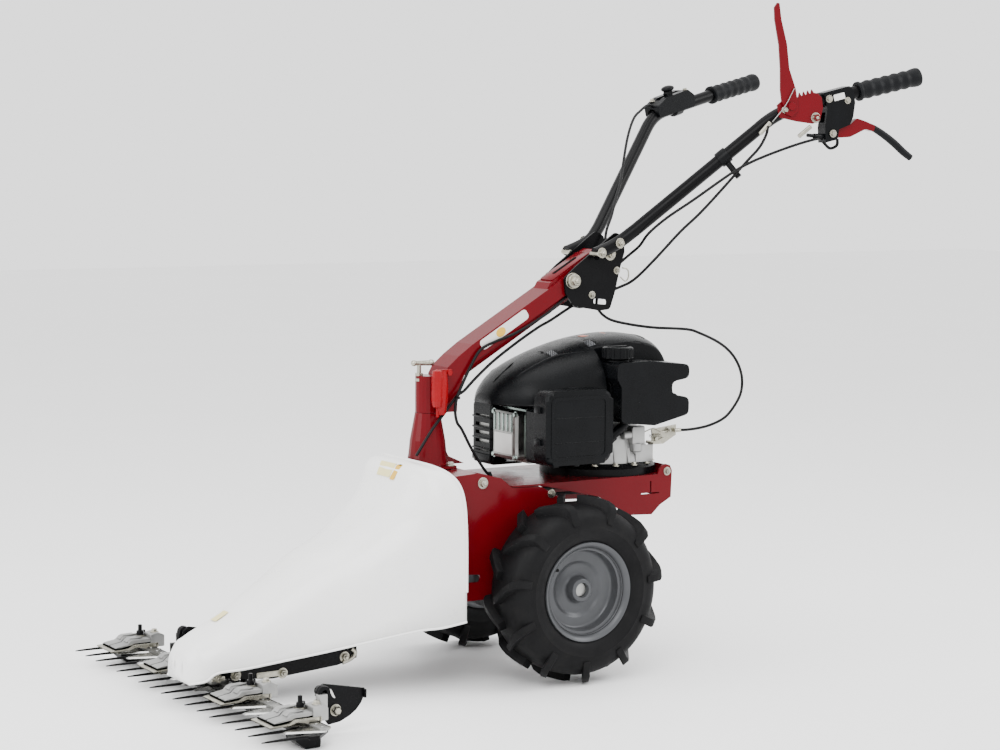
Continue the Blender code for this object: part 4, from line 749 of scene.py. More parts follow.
def engine_details():
    """Everything small round the crankcase, the cylinder and the muffler."""
    base_details()
    low, high = Vector((-0.134, 0.094, 0.432)), Vector((-0.170, 0.104, 0.466))
    build("oil_filler", "black_plastic",
          (tube, [low, high], 0.0085, 20), (tube, [low.lerp(high, 0.08), low.lerp(high, 0.32)], 0.0105, 20))
    build("carburettor", "aluminium",
          (brick, (-0.216, 0.084, 0.424), (-0.186, 0.104, 0.458), 0.003),
          (rod, (-0.200, 0.094, 0.408), (-0.200, 0.094, 0.426), 0.012, 28, 0.002),
          (rod, (-0.186, 0.095, 0.442), (-0.168, 0.095, 0.442), 0.009, 24, 0.001),
          (bolt, (-0.200, 0.094, 0.408), (0, 0, -1), 0.008))
    coil = [(-0.226 - 0.028 * k / 60, 0.1035 + 0.0028 * math.cos(k * 0.9),
             0.4375 + 0.0028 * math.sin(k * 0.9)) for k in range(61)]
    build("governor_linkage", "zinc",
          (wire, [(-0.216, 0.101, 0.446), (-0.236, 0.104, 0.452), (-0.258, 0.103, 0.444),
                  (-0.276, 0.102, 0.448)], 0.0012),
          (wire, [(-0.222, 0.099, 0.428), (-0.240, 0.103, 0.426), (-0.262, 0.102, 0.432)], 0.0012),
          (brick, (-0.250, 0.0995, 0.424), (-0.232, 0.1012, 0.438), 0.0005),
          (bolt, (-0.241, 0.1012, 0.431), (0, 1, 0), 0.008),
          (bolt, (-0.272, 0.0992, 0.446), (0, 1, 0), 0.008, 0.003),
          (tube, coil, 0.0005, 6))
    build("crankcase_bosses", "aluminium",
          (brick, (-0.240, 0.0925, 0.3868), (-0.200, 0.0955, 0.420), 0.0008),
          (rod, (-0.212, 0.080, 0.390), (-0.212, 0.080, 0.430), 0.007, 24),
          (rod, (-0.186, 0.088, 0.388), (-0.186, 0.088, 0.416), 0.006, 24))

    low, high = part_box("valve_cover")
    front = high.x
    build("valve_cover_plate", "label_white",
          (brick, (front - 0.002, -0.031, 0.409), (front + 0.0012, 0.031, 0.448), 0.001), slot="steel")
    build("valve_cover_trim", "cover_green",
          *((brick, (front - 0.004, y - 0.0022, 0.452), (front + 0.0022, y + 0.0022, 0.486), 0.001)
            for y in (-0.030, -0.015, 0.0, 0.015, 0.030)),
          (brick, (low.x - 0.0005, -0.0452, 0.394), (low.x + 0.0035, 0.0452, 0.4955), 0.001),
          *((bolt, (front - 0.0045, y, z), (1, 0, 0), 0.008)
            for y in (-0.038, 0.038) for z in (0.404, 0.486)),
          slot="steel")
    build("cylinder_fins", "aluminium", *(
        (brick, (x, -0.0535, 0.392), (x + 0.0024, 0.0535, 0.4845), 0.0008)
        for x in (-0.083 + 0.0125 * k for k in range(7))))
    build("spark_lead", "cable_black",
          (wire, [(0.006, 0.0, 0.4952), (0.012, -0.020, 0.4960), (-0.010, -0.046, 0.5000),
                  (-0.050, -0.060, 0.5020)], 0.0032, 10, 8))
    build("guard_bars", "black_plastic",
          (brick, (0.0355, -0.120, 0.386), (0.0395, -0.054, 0.3985), 0.001),
          *((brick, (0.0335, -0.1235, z), (0.0375, -0.0550, z + 0.0035), 0.0008)
            for z in (0.4065 + 0.0205 * k for k in range(4))))


def tank_details():
    """Softer tank edges, its seam, the filler collar and the knurled cap."""
    soften = frame["nodes"]["fuel_tank"].modifiers.new("rounded edges", "BEVEL")
    soften.width = 0.006
    soften.segments = 4
    soften.limit_method = "ANGLE"
    soften.angle_limit = math.radians(50)
    y = 0.1125
    outline = [(-0.1185, 0.560), (-0.1285, 0.538), (-0.1285, 0.484), (-0.200, 0.4665), (-0.270, 0.4800)]
    build("tank_seam", "black_plastic",
          (tube, [(x, y, z) for x, z in outline], 0.0016, 8),
          (wire, [(-0.286, y, 0.490), (-0.2865, y, 0.505), (-0.280, y, 0.516), (-0.258, y, 0.521)],
           0.0016, 8, 5))
    low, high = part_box("fuel_cap")
    middle = Vector(((low.x + high.x) / 2, (low.y + high.y) / 2, high.z))
    build("tank_collar", "black_plastic",
          (revolve, [(0.0180, 0), (0.0225, 0), (0.0225, 0.003), (0.0180, 0.005)],
           aim(UP, (middle.x, middle.y, 0.586)), 48))
    knurl = bmesh.new()
    for x, y in circle(26, 0.0287):
        tube(knurl, [middle + Vector((x, y, -0.0175)), middle + Vector((x, y, -0.002))], 0.0017, 8)
    revolve(knurl, [(0.0, 0.0), (0.0295, 0.0), (0.0275, 0.0016), (0.0235, 0.0020), (0.0225, 0.0008),
                    (0.0, 0.0008)], aim(UP, middle), 56)
    brick(knurl, middle + Vector((-0.021, -0.0035, 0.0004)), middle + Vector((0.021, 0.0035, 0.0036)), 0.0012)
    piece("cap_knurl", knurl, "black_plastic", "filler_cap")


# ---------------------------------------------------------------- frame, column and handlebars
def bolts():
    """Bolts of the frame, the bar carrier, the handle plates and the height pivot."""
    chassis, rails, straps, plates, pivot = [bmesh.new() for _ in range(5)]
    for s in (-1, 1):
        side = (0, s, 0)
        for x, z, across, stud in ((-0.2582, 0.3689, 0.010, 0.001), (0.0074, 0.3440, 0.010, 0.0),
                                   (0.1580, 0.3740, 0.013, 0.002), (0.2300, 0.3000, 0.011, 0.0)):
            bolt(chassis, (x, s * 0.1180, z), side, across, stud)
        for x in (0.180, 0.238):
            bolt(chassis, (x, s * 0.0370, 0.3985), UP, 0.011)

        for x, z in ((0.6720, 0.0600), (0.6325, 0.0560), (0.5403, 0.0500), (0.4150, 0.0660)):
            bolt(rails, (x, s * 0.0600, z), side, 0.012, 0.003)
        y0, y1 = sorted((s * 0.0600, s * 0.0616))
        brick(straps, (0.548, y0, 0.0455), (0.592, y1, 0.0560))
        y = s * 0.0615
        wire(straps, [(0.420, y, 0.056), (0.402, y, 0.062), (0.394, y, 0.072), (0.402, y, 0.080)],
             0.0040, 12, 5)

        for x, y, z, across, stud in (
            (HEIGHT_LOCK.x, 0.0365, HEIGHT_LOCK.z, 0.0155, 0.004), (-0.1911, 0.0365, 0.7547, 0.009, 0.002),
            (-0.1339, 0.0365, 0.7090, 0.009, 0.002), (-0.139, 0.0622, 0.7905, 0.012, 0.002),
            (-0.180, 0.0632, 0.8085, 0.012, 0.002),
        ):
            bolt(plates, (x, s * y, z), side, across, stud)
        rod(plates, (-0.132, s * 0.0360, 0.7880), (-0.132, s * 0.0640, 0.7880), 0.0046, 20)

        revolve(pivot, [(0.0058, 0.0369), (0.0150, 0.0369), (0.0156, 0.0374), (0.0150, 0.0382),
                        (0.0058, 0.0382)], aim(side, HEIGHT_PIVOT), 40)
        bolt(pivot, HEIGHT_PIVOT + Vector((0, s * 0.0440, 0)), side, 0.0165, 0.003)
    reach = Vector((0, 0.0365, 0))
    rod(plates, HEIGHT_LOCK - reach, HEIGHT_LOCK + reach, 0.0043, 20)
    wire(plates, [(-0.196, 0.042, 0.742), (-0.207, 0.043, 0.734), (-0.214, 0.043, 0.742),
                  (-0.212, 0.043, 0.756), (-0.200, 0.042, 0.760)], 0.0014)
    piece("frame_bolts", chassis, "zinc")
    piece("carrier_bolts", rails, "zinc")
    piece("carrier_straps", straps, "zinc")
    piece("plate_bolts", plates, "zinc", "handlebars")
    piece("pivot_washers", pivot, "zinc", "column")


def column_details():
    """Raised plate with its slot in painted shade, plain labels, post weld, clamp screw, lock sleeve and
    cable tie.
    """
    down, above = Vector((-0.862, 0, 0.507)), Vector((0.507, 0, 0.862))
    start = Vector((-0.052, 0, 0.7372))
    build("arm_top_plate", "red_paint",
          (slab, oblong(0.0, -0.022, 0.100, 0.022, 0.006), basis(down, (0, 1, 0), above, start),
           0.0022, 0.0008), body="column")
    # The slot is a thin dark slab of painted shade on the plate, not cut.
    build("arm_top_slot_shade", "black_hole",
          (slab, oblong(0.0, -0.0045, 0.060, 0.0045, 0.003),
           basis(down, (0, 1, 0), above, start + above * 0.0023 + down * 0.020), 0.0004),
          body="column", slot="black_plastic")
    build("arm_label", "label_white", *(
        (slab, oblong(0.0, -0.010, 0.118, 0.010, 0.008),
         basis(down, above, (0, s, 0), Vector((0.110, s * 0.0295, 0.6185))), 0.0004) for s in (-1, 1)),
        body="column", slot="white_plastic")
    build("arm_label_spot", "label_yellow", *(
        (slab, circle(32, 0.011, 0.0085),
         basis(down, above, (0, s, 0), Vector((0.110, s * 0.0299, 0.6185)) + down * 0.050), 0.0003)
        for s in (-1, 1)), body="column", slot="white_plastic")

    ring = [(0.2085 + x, y, 0.4005) for x, y in circle(48, 0.0385)]
    build("post_weld", "red_paint", (tube, ring + ring[:1], 0.0022, 8))
    build("arm_stub", "red_paint", (rod, (0.150, 0.0, 0.560), (0.178, 0.0, 0.545), 0.0118, 32), body="column")

    screw = bmesh.new()
    for z in (0.556, 0.566):
        revolve(screw, [(0.0042, 0), (0.0085, 0), (0.0085, 0.005), (0.0042, 0.005)],
                aim(UP, (0.227, 0, z)), 6)
    low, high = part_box("swivel_screw")
    ends = [Vector((x, 0, high.z - 0.0045)) for x in (low.x + 0.004, high.x - 0.004)]
    rod(screw, *ends, 0.0042, 24)
    for spot in ends:
        bmesh.ops.create_uvsphere(screw, u_segments=20, v_segments=12, radius=0.0058,
                                  matrix=Matrix.Translation(spot))
    piece("clamp_screw_ends", screw, "zinc", "clamp_screw")

    low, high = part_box("lock_lever")
    middle = (low + high) / 2
    drop = [(middle.x, middle.y, high.z - 0.0040 - (high.z - low.z - 0.008) * k / 24) for k in range(25)]
    build("lock_lever_sleeve", "red_plastic",
          (tube, drop, lambda t: 0.0062 + 0.0068 * math.sin(math.pi * min(1.0, 0.12 + 0.86 * t)) ** 0.6, 24),
          body="column_lock")
    build("cable_tie", "cable_black",
          (revolve, [(0.0032, -0.0015), (0.0046, -0.0015), (0.0046, 0.0015), (0.0032, 0.0015)],
           aim((0.3, 0.1, -0.9), (0.169, 0.042, 0.527)), 20),
          (brick, (0.168, 0.045, 0.524), (0.173, 0.052, 0.529), 0.0005), body="column")


def handlebar_route():
    """The left tube's middle line."""
    rise = Vector((-0.412, 0.186, 1.028))
    flat = GRIP_START.lerp(HANDLE_BEND, 0.80)
    low = smooth_route([(-0.132, 0.0495, 0.788), (-0.165, 0.0497, 0.800), (-0.190, 0.052, 0.813),
                        HANDLE_KNEE], 5)
    bend = [rise.lerp(HANDLE_BEND, t).lerp(HANDLE_BEND.lerp(flat, t), t) for t in (k / 12 for k in range(13))]
    along = (GRIP_END - GRIP_START).normalized()
    return low + bend + [GRIP_START, GRIP_END - along * 0.010]


def handlebars():
    """Both tubes and their finger-ridged grips."""
    pair("handlebar", tube(bmesh.new(), handlebar_route(), TUBE_RADIUS, 32), "black_paint", "handlebars")
    length = (GRIP_END - GRIP_START).length
    outer = [(0.0180, 0.0), (0.0190, 0.0015), (0.0190, 0.0060), (0.0175, 0.0080), (0.0160, 0.0095)]
    ridges, first, last = 5, 0.014, length - 0.024
    for i in range(ridges * 8 + 1):
        t = i / (ridges * 8)
        outer.append((0.0162 + 0.0010 * (1 - math.cos(2 * math.pi * ridges * t)), first + (last - first) * t))
    outer += [(0.0172, length - 0.020), (0.0184, length - 0.012), (0.0186, length - 0.006),
              (0.0176, length - 0.0015), (0.0150, length), (0.0110, length - 0.0006), (0, length - 0.0004)]
    bore = TUBE_RADIUS + 0.0002
    profile = [(bore, 0.0)] + outer + [(0, length - 0.008), (bore, length - 0.008)]
    grip = revolve(bmesh.new(), profile, aim(GRIP_END - GRIP_START, GRIP_START), 48)
    pair("grip", grip, "grip_rubber", "handlebars")


def tube_axes(side=1):
    """The straight handlebar end's own axes: X back along the tube, Y out, Z up."""
    back = (GRIP_START - HANDLE_BEND).normalized()
    out = Vector((-back.y, back.x, 0)).normalized()
    if out.y < 0:
        out = -out
    up = back.cross(out)
    if up.z < 0:
        up = -up
    matrix = basis(back, out, up, HANDLE_BEND)
    return Matrix.Scale(side, 4, (0, 1, 0)) @ matrix if side < 0 else matrix


def left_controls():
    """Screws, hook, adjusters and return wire of the left tube, and the clutch lever."""
    axes = tube_axes()

    def spot(u, w, v):
        return axes @ Vector((u, w, v))

    back, out, up = [(spot(*way) - spot(0, 0, 0)).normalized() for way in ((1, 0, 0), (0, 1, 0), (0, 0, 1))]
    build("control_screws", "zinc",
          *((bolt, spot(*place), out, across, stud) for *place, across, stud in (
              (0.074, 0.0180, -0.026, 0.012, 0.002), (0.014, 0.0171, 0.004, 0.009, 0.0),
              (0.112, 0.0155, 0.002, 0.009, 0.0), (0.150, 0.0155, -0.010, 0.008, 0.0),
              (0.104, 0.0180, -0.0645, 0.009, 0.0))),
          (tube, [spot(0.030, 0.0200, -0.052), spot(0.060, 0.0170, -0.040)], 0.0042, 12),
          (rod, spot(-0.050, 0.022, -0.028), spot(-0.024, 0.020, -0.012), 0.0040, 18), body="handlebars")
    build("clutch_catch", "black_plastic",
          (wire, [spot(0.086, 0.004, -0.076), spot(0.098, 0.004, -0.092), spot(0.114, 0.004, -0.090),
                  spot(0.118, 0.004, -0.078)], 0.0030, 10),
          (tube, [spot(0.088, 0.006, -0.066), spot(0.066, 0.010, -0.060)], 0.0050, 18),
          (tube, [spot(0.070, 0.009, -0.061), spot(0.052, 0.012, -0.055)], 0.0036, 18), body="handlebars")
    build("blade_lever_wire", "steel",
          (wire, [spot(0.038, 0.026, 0.040), spot(0.012, 0.025, 0.012), spot(-0.020, 0.022, -0.012)],
           0.0010, 8, 8), body="handlebars")
    build("bracket_mark", "label_white",
          (slab, oblong(-0.012, -0.006, 0.012, 0.006, 0.002),
           basis(back, up, out, spot(0.134, 0.0156, 0.001)), 0.0003), body="handlebars", slot="white_plastic")

    outline = [(0.096, -0.061), (0.1098, -0.054), (0.149, -0.058), (0.1668, -0.049), (0.187, -0.061),
               (0.203, -0.0735), (0.197, -0.083), (0.181, -0.074), (0.1445, -0.081), (0.106, -0.074)]
    lever = build("fine_clutch_lever", "red_paint",
                  (slab, rounded(outline, 0.0035, 4), basis(back, up, -out, spot(0, 0.0072, 0)),
                   0.0144, 0.0015),
                  (rod, spot(0.104, -0.0185, -0.0645), spot(0.104, 0.0185, -0.0645), 0.0038, 20),
                  body="clutch_control")
    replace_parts(lever, "clutch_lever")
    sleeve = [(0.186, -0.0675), (0.203, -0.0785), (0.222, -0.0965), (0.240, -0.117), (0.255, -0.137),
              (0.269, -0.153)]
    build("clutch_lever_sleeve", "grip_rubber",
          (wire, [spot(u, 0, v) for u, v in sleeve],
           lambda t: 0.0064 + 0.0016 * math.sin(math.pi * t) * t, 20), body="clutch_control")

    near = min(handlebar_route(), key=lambda p: abs(p.x + 0.412))
    middle = HANDLE_KNEE.lerp(near, 0.72)
    hang = Vector((-0.018, 0.022, -0.034))
    build("cable_clip", "black_plastic",
          (revolve, [(TUBE_RADIUS + gap, height) for gap, height in (
              (0.0002, -0.011), (0.0030, -0.011), (0.0034, 0.0), (0.0030, 0.011), (0.0002, 0.011))],
           aim(near - HANDLE_KNEE, middle), 36),
          (tube, [middle + hang * share for share in (0.25, 0.7, 1.10)], 0.0062, 16), body="handlebars")


def right_controls():
    """Screws of the throttle's housing and the thumb lever's dome."""
    axes = tube_axes(-1)
    up = (axes @ Vector(UP) - axes @ Vector()).normalized()
    build("throttle_screws", "zinc",
          (bolt, axes @ Vector((0.018, 0.012, 0.0250)), up, 0.008),
          (bolt, axes @ Vector((0.094, -0.012, 0.0300)), up, 0.008), body="handlebars")
    thumb = bmesh.new()
    matrix = axes @ Matrix.Translation((0.056, 0, 0.0430)) @ Matrix.Diagonal((0.0150, 0.0130, 0.0065, 1.0))
    bmesh.ops.create_uvsphere(thumb, u_segments=28, v_segments=16, radius=1.0, matrix=matrix)
    piece("thumb_dome", thumb, "black_plastic", "throttle_control")


# ---------------------------------------------------------------- cables
BLADE_CABLE = [
    (-0.409, 0.222, 1.034), (-0.410, 0.215, 1.017), (-0.405, 0.200, 0.992), (-0.384, 0.185, 0.963),
    (-0.345, 0.165, 0.913), (-0.312, 0.140, 0.867), (-0.287, 0.110, 0.830), (-0.250, 0.080, 0.777),
    (-0.228, 0.045, 0.738), (-0.205, 0.028, 0.722), (-0.147, 0.015, 0.702), (-0.109, 0.015, 0.690),
    (-0.055, 0.015, 0.662), (-0.030, 0.015, 0.651), (0.017, 0.018, 0.626), (0.074, 0.020, 0.591),
    (0.120, 0.030, 0.561), (0.150, 0.036, 0.538), (0.1657, 0.0365, 0.5285), (0.195, 0.038, 0.497),
    (0.222, 0.040, 0.468), (0.256, 0.042, 0.4225),
]
CLUTCH_CABLE = [
    (-0.5365, 0.226, 1.0105), (-0.518, 0.232, 1.010), (-0.472, 0.225, 0.998), (-0.421, 0.208, 0.979),
    (-0.383, 0.195, 0.962), (-0.352, 0.180, 0.942), (-0.289, 0.148, 0.892), (-0.250, 0.118, 0.858),
    (-0.228, 0.090, 0.828), (-0.228, 0.060, 0.803), (-0.222, 0.035, 0.785), (-0.190, 0.022, 0.757),
    (-0.155, 0.022, 0.742), (-0.1217, 0.022, 0.7309), (-0.087, 0.024, 0.7085), (-0.040, 0.030, 0.678),
    (0.0, 0.0335, 0.658), (0.040, 0.0345, 0.640), (0.082, 0.0345, 0.627), (0.115, 0.0345, 0.612),
    (0.138, 0.036, 0.580), (0.162, 0.040, 0.540), (0.171, 0.045, 0.527), (0.177, 0.048, 0.504),
    (0.174, 0.050, 0.481), (0.163, 0.050, 0.466), (0.141, 0.050, 0.427), (0.113, 0.050, 0.387),
    (0.102, 0.050, 0.3775),
]
THROTTLE_CABLE = [
    (-0.448, -0.202, 1.069), (-0.432, -0.196, 1.077), (-0.412, -0.184, 1.077), (-0.3877, -0.170, 1.067),
    (-0.3597, -0.155, 1.050), (-0.3277, -0.130, 1.011), (-0.2957, -0.100, 0.951), (-0.2777, -0.080, 0.924),
    (-0.2527, -0.060, 0.890), (-0.2297, -0.040, 0.858), (-0.2067, -0.025, 0.825), (-0.196, -0.012, 0.785),
    (-0.186, -0.004, 0.745), (-0.172, 0.0, 0.710), (-0.166, 0.006, 0.685), (-0.174, 0.020, 0.666),
    (-0.193, 0.040, 0.655), (-0.248, 0.070, 0.645), (-0.312, 0.100, 0.641), (-0.338, 0.110, 0.633),
    (-0.375, 0.120, 0.615), (-0.401, 0.125, 0.595), (-0.417, 0.130, 0.571), (-0.427, 0.130, 0.543),
    (-0.425, 0.130, 0.515), (-0.411, 0.130, 0.491), (-0.387, 0.130, 0.468), (-0.355, 0.125, 0.454),
    (-0.322, 0.115, 0.447), (-0.294, 0.1035, 0.445),
]


def cables():
    """Each cable in two pieces, cut at a listed knot and left on no body."""
    for name, knots, cut, hinge in (("blade_cable", BLADE_CABLE, 13, 19),
                                    ("clutch_cable", CLUTCH_CABLE, 15, 15),
                                    ("throttle_cable", THROTTLE_CABLE, 13, 13)):
        above = (wire, knots[: cut + 1], CABLE_RADIUS, 12, 5)
        thing = build(name + "_upper", "cable_black", above, body=None)
        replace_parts(thing, name)
        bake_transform(thing)
        thing = build(name + "_lower", "cable_black", (wire, knots[cut:], CABLE_RADIUS, 12, 5), body=None)
        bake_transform(thing)
    rope = build("starter_rope", "cable_black",
                 (tube, [(-0.175, -0.100 - 0.0014 * k, 0.560) for k in range(25)], 0.0018, 12), body=None)
    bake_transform(rope)
    build("throttle_cable_end", "zinc", (rod, (-0.300, 0.1040, 0.4452), (-0.284, 0.1030, 0.4450), 0.0040, 18))
    build("cable_entry_flap", "black_plastic",
          (brick, (0.084, 0.040, 0.3655), (0.118, 0.060, 0.3700), 0.001),
          (tube, [(0.100, 0.050, 0.3690), (0.1035, 0.050, 0.3830)], lambda t: 0.0062 - 0.0026 * t, 16))


# ---------------------------------------------------------------- cutter bar
def finger(shape, y):
    """One forged finger: a flat root that narrows to a long ridge and a blunt tip."""
    stations = [
        (0.655, 0.0120, 0.0225, 0.0282), (0.664, 0.0098, 0.0220, 0.0282), (0.672, 0.0052, 0.0224, 0.0282),
        (0.684, 0.0034, 0.0232, 0.0281), (0.712, 0.0027, 0.0236, 0.0278), (0.738, 0.0020, 0.0238, 0.0272),
        (0.7496, 0.0011, 0.0243, 0.0262),
    ]
    rings = []
    for x, half, low, high in stations:
        middle, shoulder = (low + high) / 2, high - 0.0003
        rings.append([shape.verts.new((x, y + half * share, z)) for share, z in (
            (-1, middle), (-0.55, low), (0.55, low), (1, middle), (0.72, shoulder), (0, high),
            (-0.72, shoulder))])
    join(shape, rings)


def cutter_bar():
    """The black bar with its fingers and end shoes, the rivets and the wire hoops."""
    end = BAR_HALF - 0.0129
    rear = end - 0.034
    middles = [FINGER_PITCH * (i - (FINGER_COUNT - 1) / 2) for i in range(FINGER_COUNT)]
    plan = [(0.617, -rear), (0.650, -end), (0.668, -end), (0.668, end), (0.650, end), (0.617, rear)]
    bar = bmesh.new()
    slab(bar, plan, Matrix.Translation((0, 0, 0.0220)), 0.0058, 0.0008)
    brick(bar, (0.617, -rear, 0.0262), (0.6215, rear, 0.0340), 0.001)
    brick(bar, (0.598, -0.070, 0.0220), (0.620, 0.070, 0.0340), 0.0015)
    for y in middles:
        finger(bar, y)
    shoe = rounded([(0.634, 0.0), (0.662, 0.0), (0.679, 0.014), (0.679, 0.0268), (0.632, 0.0268)], 0.003, 4)
    hoops = bmesh.new()
    for side in (-1, 1):
        y0, y1 = sorted((side * (end - 0.0671), side * (end - 0.0291)))
        slab(bar, shoe, facing(y0), y1 - y0)
        y = side * 0.368
        wire(hoops, [(0.640, y - 0.012, 0.0300), (0.622, y - 0.012, 0.0275), (0.609, y - 0.007, 0.0262),
                     (0.607, y + 0.004, 0.0262), (0.617, y + 0.011, 0.0270), (0.640, y + 0.012, 0.0300)],
             0.0019, 10)
    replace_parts(piece("fine_finger_bar", bar, "black_paint", smooth=30), "finger_bar")
    build("finger_rivets", "steel", *(
        (revolve, [(0, 0.0338), (0.0026, 0.0338), (0.0022, 0.0350), (0, 0.0354)], aim(UP, (0.6194, y, 0)), 18)
        for y in middles[1:-1]))
    piece("bar_end_hoops", hoops, "zinc")


def knife():
    """Sections with ground bevels on a riveted back."""
    middles = [-BAR_HALF + FINGER_PITCH * (i + 1) for i in range(FINGER_COUNT - 1)]
    base = [(0.630, 0.025), (0.642, 0.025), (0.698, 0.005)]
    crown = [(0.630, 0.024), (0.642, 0.0205), (0.693, 0.003)]
    blade, back = bmesh.new(), bmesh.new()
    brick(back, (0.6228, -BAR_HALF + 0.030, 0.0296), (0.6408, BAR_HALF - 0.030, 0.0352), 0.0008)
    brick(back, (0.6262, -0.020, 0.0330), (0.6618, 0.020, 0.0454), 0.0015)
    for y in middles:
        join(blade, [[blade.verts.new((a, y + side * b, z))
                      for side, points in ((-1, half), (1, half[::-1])) for a, b in points]
                     for half, z in ((base, 0.0286), (crown, 0.0312))])
        for shift in (-0.011, 0.011):
            revolve(back, [(0, 0.0350), (0.0032, 0.0350), (0.0026, 0.0362), (0, 0.0365)],
                    aim(UP, (0.6318, y + shift, 0)), 14)
    sections = piece("knife_sections", blade, "bright_steel", "knife_group", slot="steel", smooth=15)
    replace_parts(sections, "knife")
    piece("knife_back", back, "steel", "knife_group")


CLAMP_Y = (-0.352, -0.154, 0.136, 0.327)
CLAMP_BASE = [(0.642, 0.035), (0.652, 0.0378), (0.664, 0.0397), (0.676, 0.0358), (0.713, 0.0336),
              (0.714, 0.0362), (0.678, 0.0388), (0.667, 0.0446), (0.642, 0.0446)]
CLAMP_ARM = [(0.632, 0.0452), (0.664, 0.0452), (0.675, 0.0402), (0.702, 0.0382),
             (0.703, 0.0414), (0.679, 0.0452), (0.671, 0.0528), (0.632, 0.0532)]
CLAMP_RIDGE = [(0.646, 0.053), (0.669, 0.0524), (0.676, 0.0466), (0.678, 0.0486), (0.671, 0.0556),
               (0.646, 0.0562)]
# Outline of the dark band under each spring arm: painted shade in the gap between arm and base plate.
CLAMP_GAP_SHADE = [(0.633, 0.0446), (0.664, 0.0444), (0.675, 0.0394), (0.704, 0.0372),
              (0.704, 0.0386), (0.676, 0.0410), (0.665, 0.0460), (0.633, 0.0462)]
CLAMP_BOSS = [(0.604, 0.036), (0.632, 0.036), (0.632, 0.060), (0.618, 0.063), (0.604, 0.058)]


def stepped(shape, profile, low, high):
    """Adds a bent plate: an outline in the XZ plane pushed from y = low to high."""
    slab(shape, rounded(profile, 0.0022, 3), facing(low), high - low)


def clamps():
    """Each hold-down: zinc base plate, two grey spring arms, painted shade in the gap under the arms, rear
    boss, stud and nut.
    """
    for index, y in enumerate(CLAMP_Y, 1):
        base = build(f"clamp_base_{index}", "zinc",
                     (stepped, CLAMP_BASE, y - 0.037, y + 0.037),
                     (brick, (0.616, y - 0.034, 0.0346), (0.6216, y + 0.034, 0.0440), 0.0008),
                     (brick, (0.618, y - 0.034, 0.0364), (0.650, y + 0.034, 0.0440), 0.0008), smooth=30)
        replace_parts(base, f"knife_clamp_{index}")
        arms = bmesh.new()
        for low, high in ((y - 0.031, y - 0.003), (y + 0.001, y + 0.031)):
            stepped(arms, CLAMP_ARM, low, high)
            stepped(arms, CLAMP_RIDGE, low + 0.007, high - 0.007)
        piece(f"clamp_arms_{index}", arms, "aluminium", smooth=30)
        # Near-black band of painted shade between each arm and the base plate.
        build(f"clamp_gap_shade_{index}", "black_hole",
              (stepped, CLAMP_GAP_SHADE, y - 0.0316, y - 0.0024), (stepped, CLAMP_GAP_SHADE, y + 0.0004, y + 0.0316),
              slot="black_paint")
        boss = bmesh.new()
        stepped(boss, CLAMP_BOSS, y + 0.001, y + 0.033)
        brick(boss, (0.608, y - 0.030, 0.0360), (0.630, y + 0.002, 0.0500), 0.002)
        if index == len(CLAMP_Y):
            brick(boss, (0.5920, 0.3212, 0.050), (0.6085, 0.3362, 0.074), 0.002)
        piece(f"clamp_boss_{index}", boss, "aluminium", smooth=30)
        build(f"clamp_stud_{index}", "black_paint",
              (rod, (0.640, y, 0.050), (0.640, y, 0.0755), 0.0040, 20, 0.001),
              (bolt, (0.640, y, 0.0562), UP, 0.013),
              (rod, (0.624, y - 0.020, 0.048), (0.624, y - 0.020, 0.060), 0.0034, 18, 0.001),
              (bolt, (0.624, y - 0.020, 0.0498), UP, 0.010))
        build(f"clamp_washer_{index}", "zinc",
              (revolve, [(0.0042, 0.0532), (0.0098, 0.0532), (0.0102, 0.0546), (0.0098, 0.0562),
                         (0.0042, 0.0562)], aim(UP, (0.640, y, 0)), 28),
              (bolt, (0.618, y + 0.017, 0.0618), UP, 0.010))


SKID_PIVOT = Vector((0.597, 0, 0.076))


def skid_bush(shape, y, side):
    """Bush and headed pin that carry a skid. side points away from the skid's plate."""
    revolve(shape, [(0.0048, 0.0), (0.0108, 0.0), (0.0112, 0.001), (0.0112, 0.006), (0.0100, 0.0066),
                    (0.0100, 0.0080), (0.0112, 0.0086), (0.0112, 0.0136), (0.0108, 0.0146), (0.0048, 0.0146)],
            aim((0, side, 0), SKID_PIVOT + Vector((0, y, 0))), 36)
    for inner, outer, *size in ((-0.0070, 0.0060, 0.0046, 24), (-0.0084, -0.0052, 0.0088, 28, 0.001)):
        rod(shape, *(SKID_PIVOT + Vector((0, y + side * far, 0)) for far in (inner, outer)), *size)


def skids():
    """Each skid's bush, bolt, slot and rear rib. The right bush stands on its own lug."""
    for name, side, y, body in (("left", 1, 0.3145, "left_skid"), ("right", -1, -0.2325, "right_skid")):
        bush = bmesh.new()
        skid_bush(bush, y + side * 0.0045, side)
        if side < 0:
            brick(bush, (0.5915, y - 0.0220, 0.0270), (0.6214, y - 0.0065, 0.0560), 0.001)
            brick(bush, (0.5915, y - 0.0220, 0.0500), (0.6090, y - 0.0065, 0.0740), 0.001)
        piece(f"skid_bush_{name}", bush, "black_paint")
        build(f"skid_bolt_{name}", "zinc",
              (revolve, [(0, 0), (0.0100, 0), (0.0104, 0.0006), (0.0100, 0.0014), (0.0078, 0.0014),
                         (0.0078, 0.0062), (0.0070, 0.0072), (0, 0.0072)],
               aim((0, side, 0), (0.569, y + side * 0.0042, 0.040)), 36),
              (bolt, (0.569, y + side * 0.010, 0.040), (0, side, 0), 0.011, 0.0, False), body=body)
        slot = rounded([(0.5690, 0.0600), (0.5745, 0.0630), (0.5820, 0.0790), (0.5765, 0.0760)], 0.0022, 3)
        build(f"skid_slot_{name}", "label_white", (slab, slot, facing(y + side * 0.0040, side), 0.0004),
              body=body, slot="white_plastic")
        y0, y1 = sorted((y - side * 0.001, y + side * 0.011))
        build(f"skid_rib_{name}", "black_paint", (brick, (0.5125, y0, 0.0560), (0.5160, y1, 0.0710), 0.0008),
              body=body)


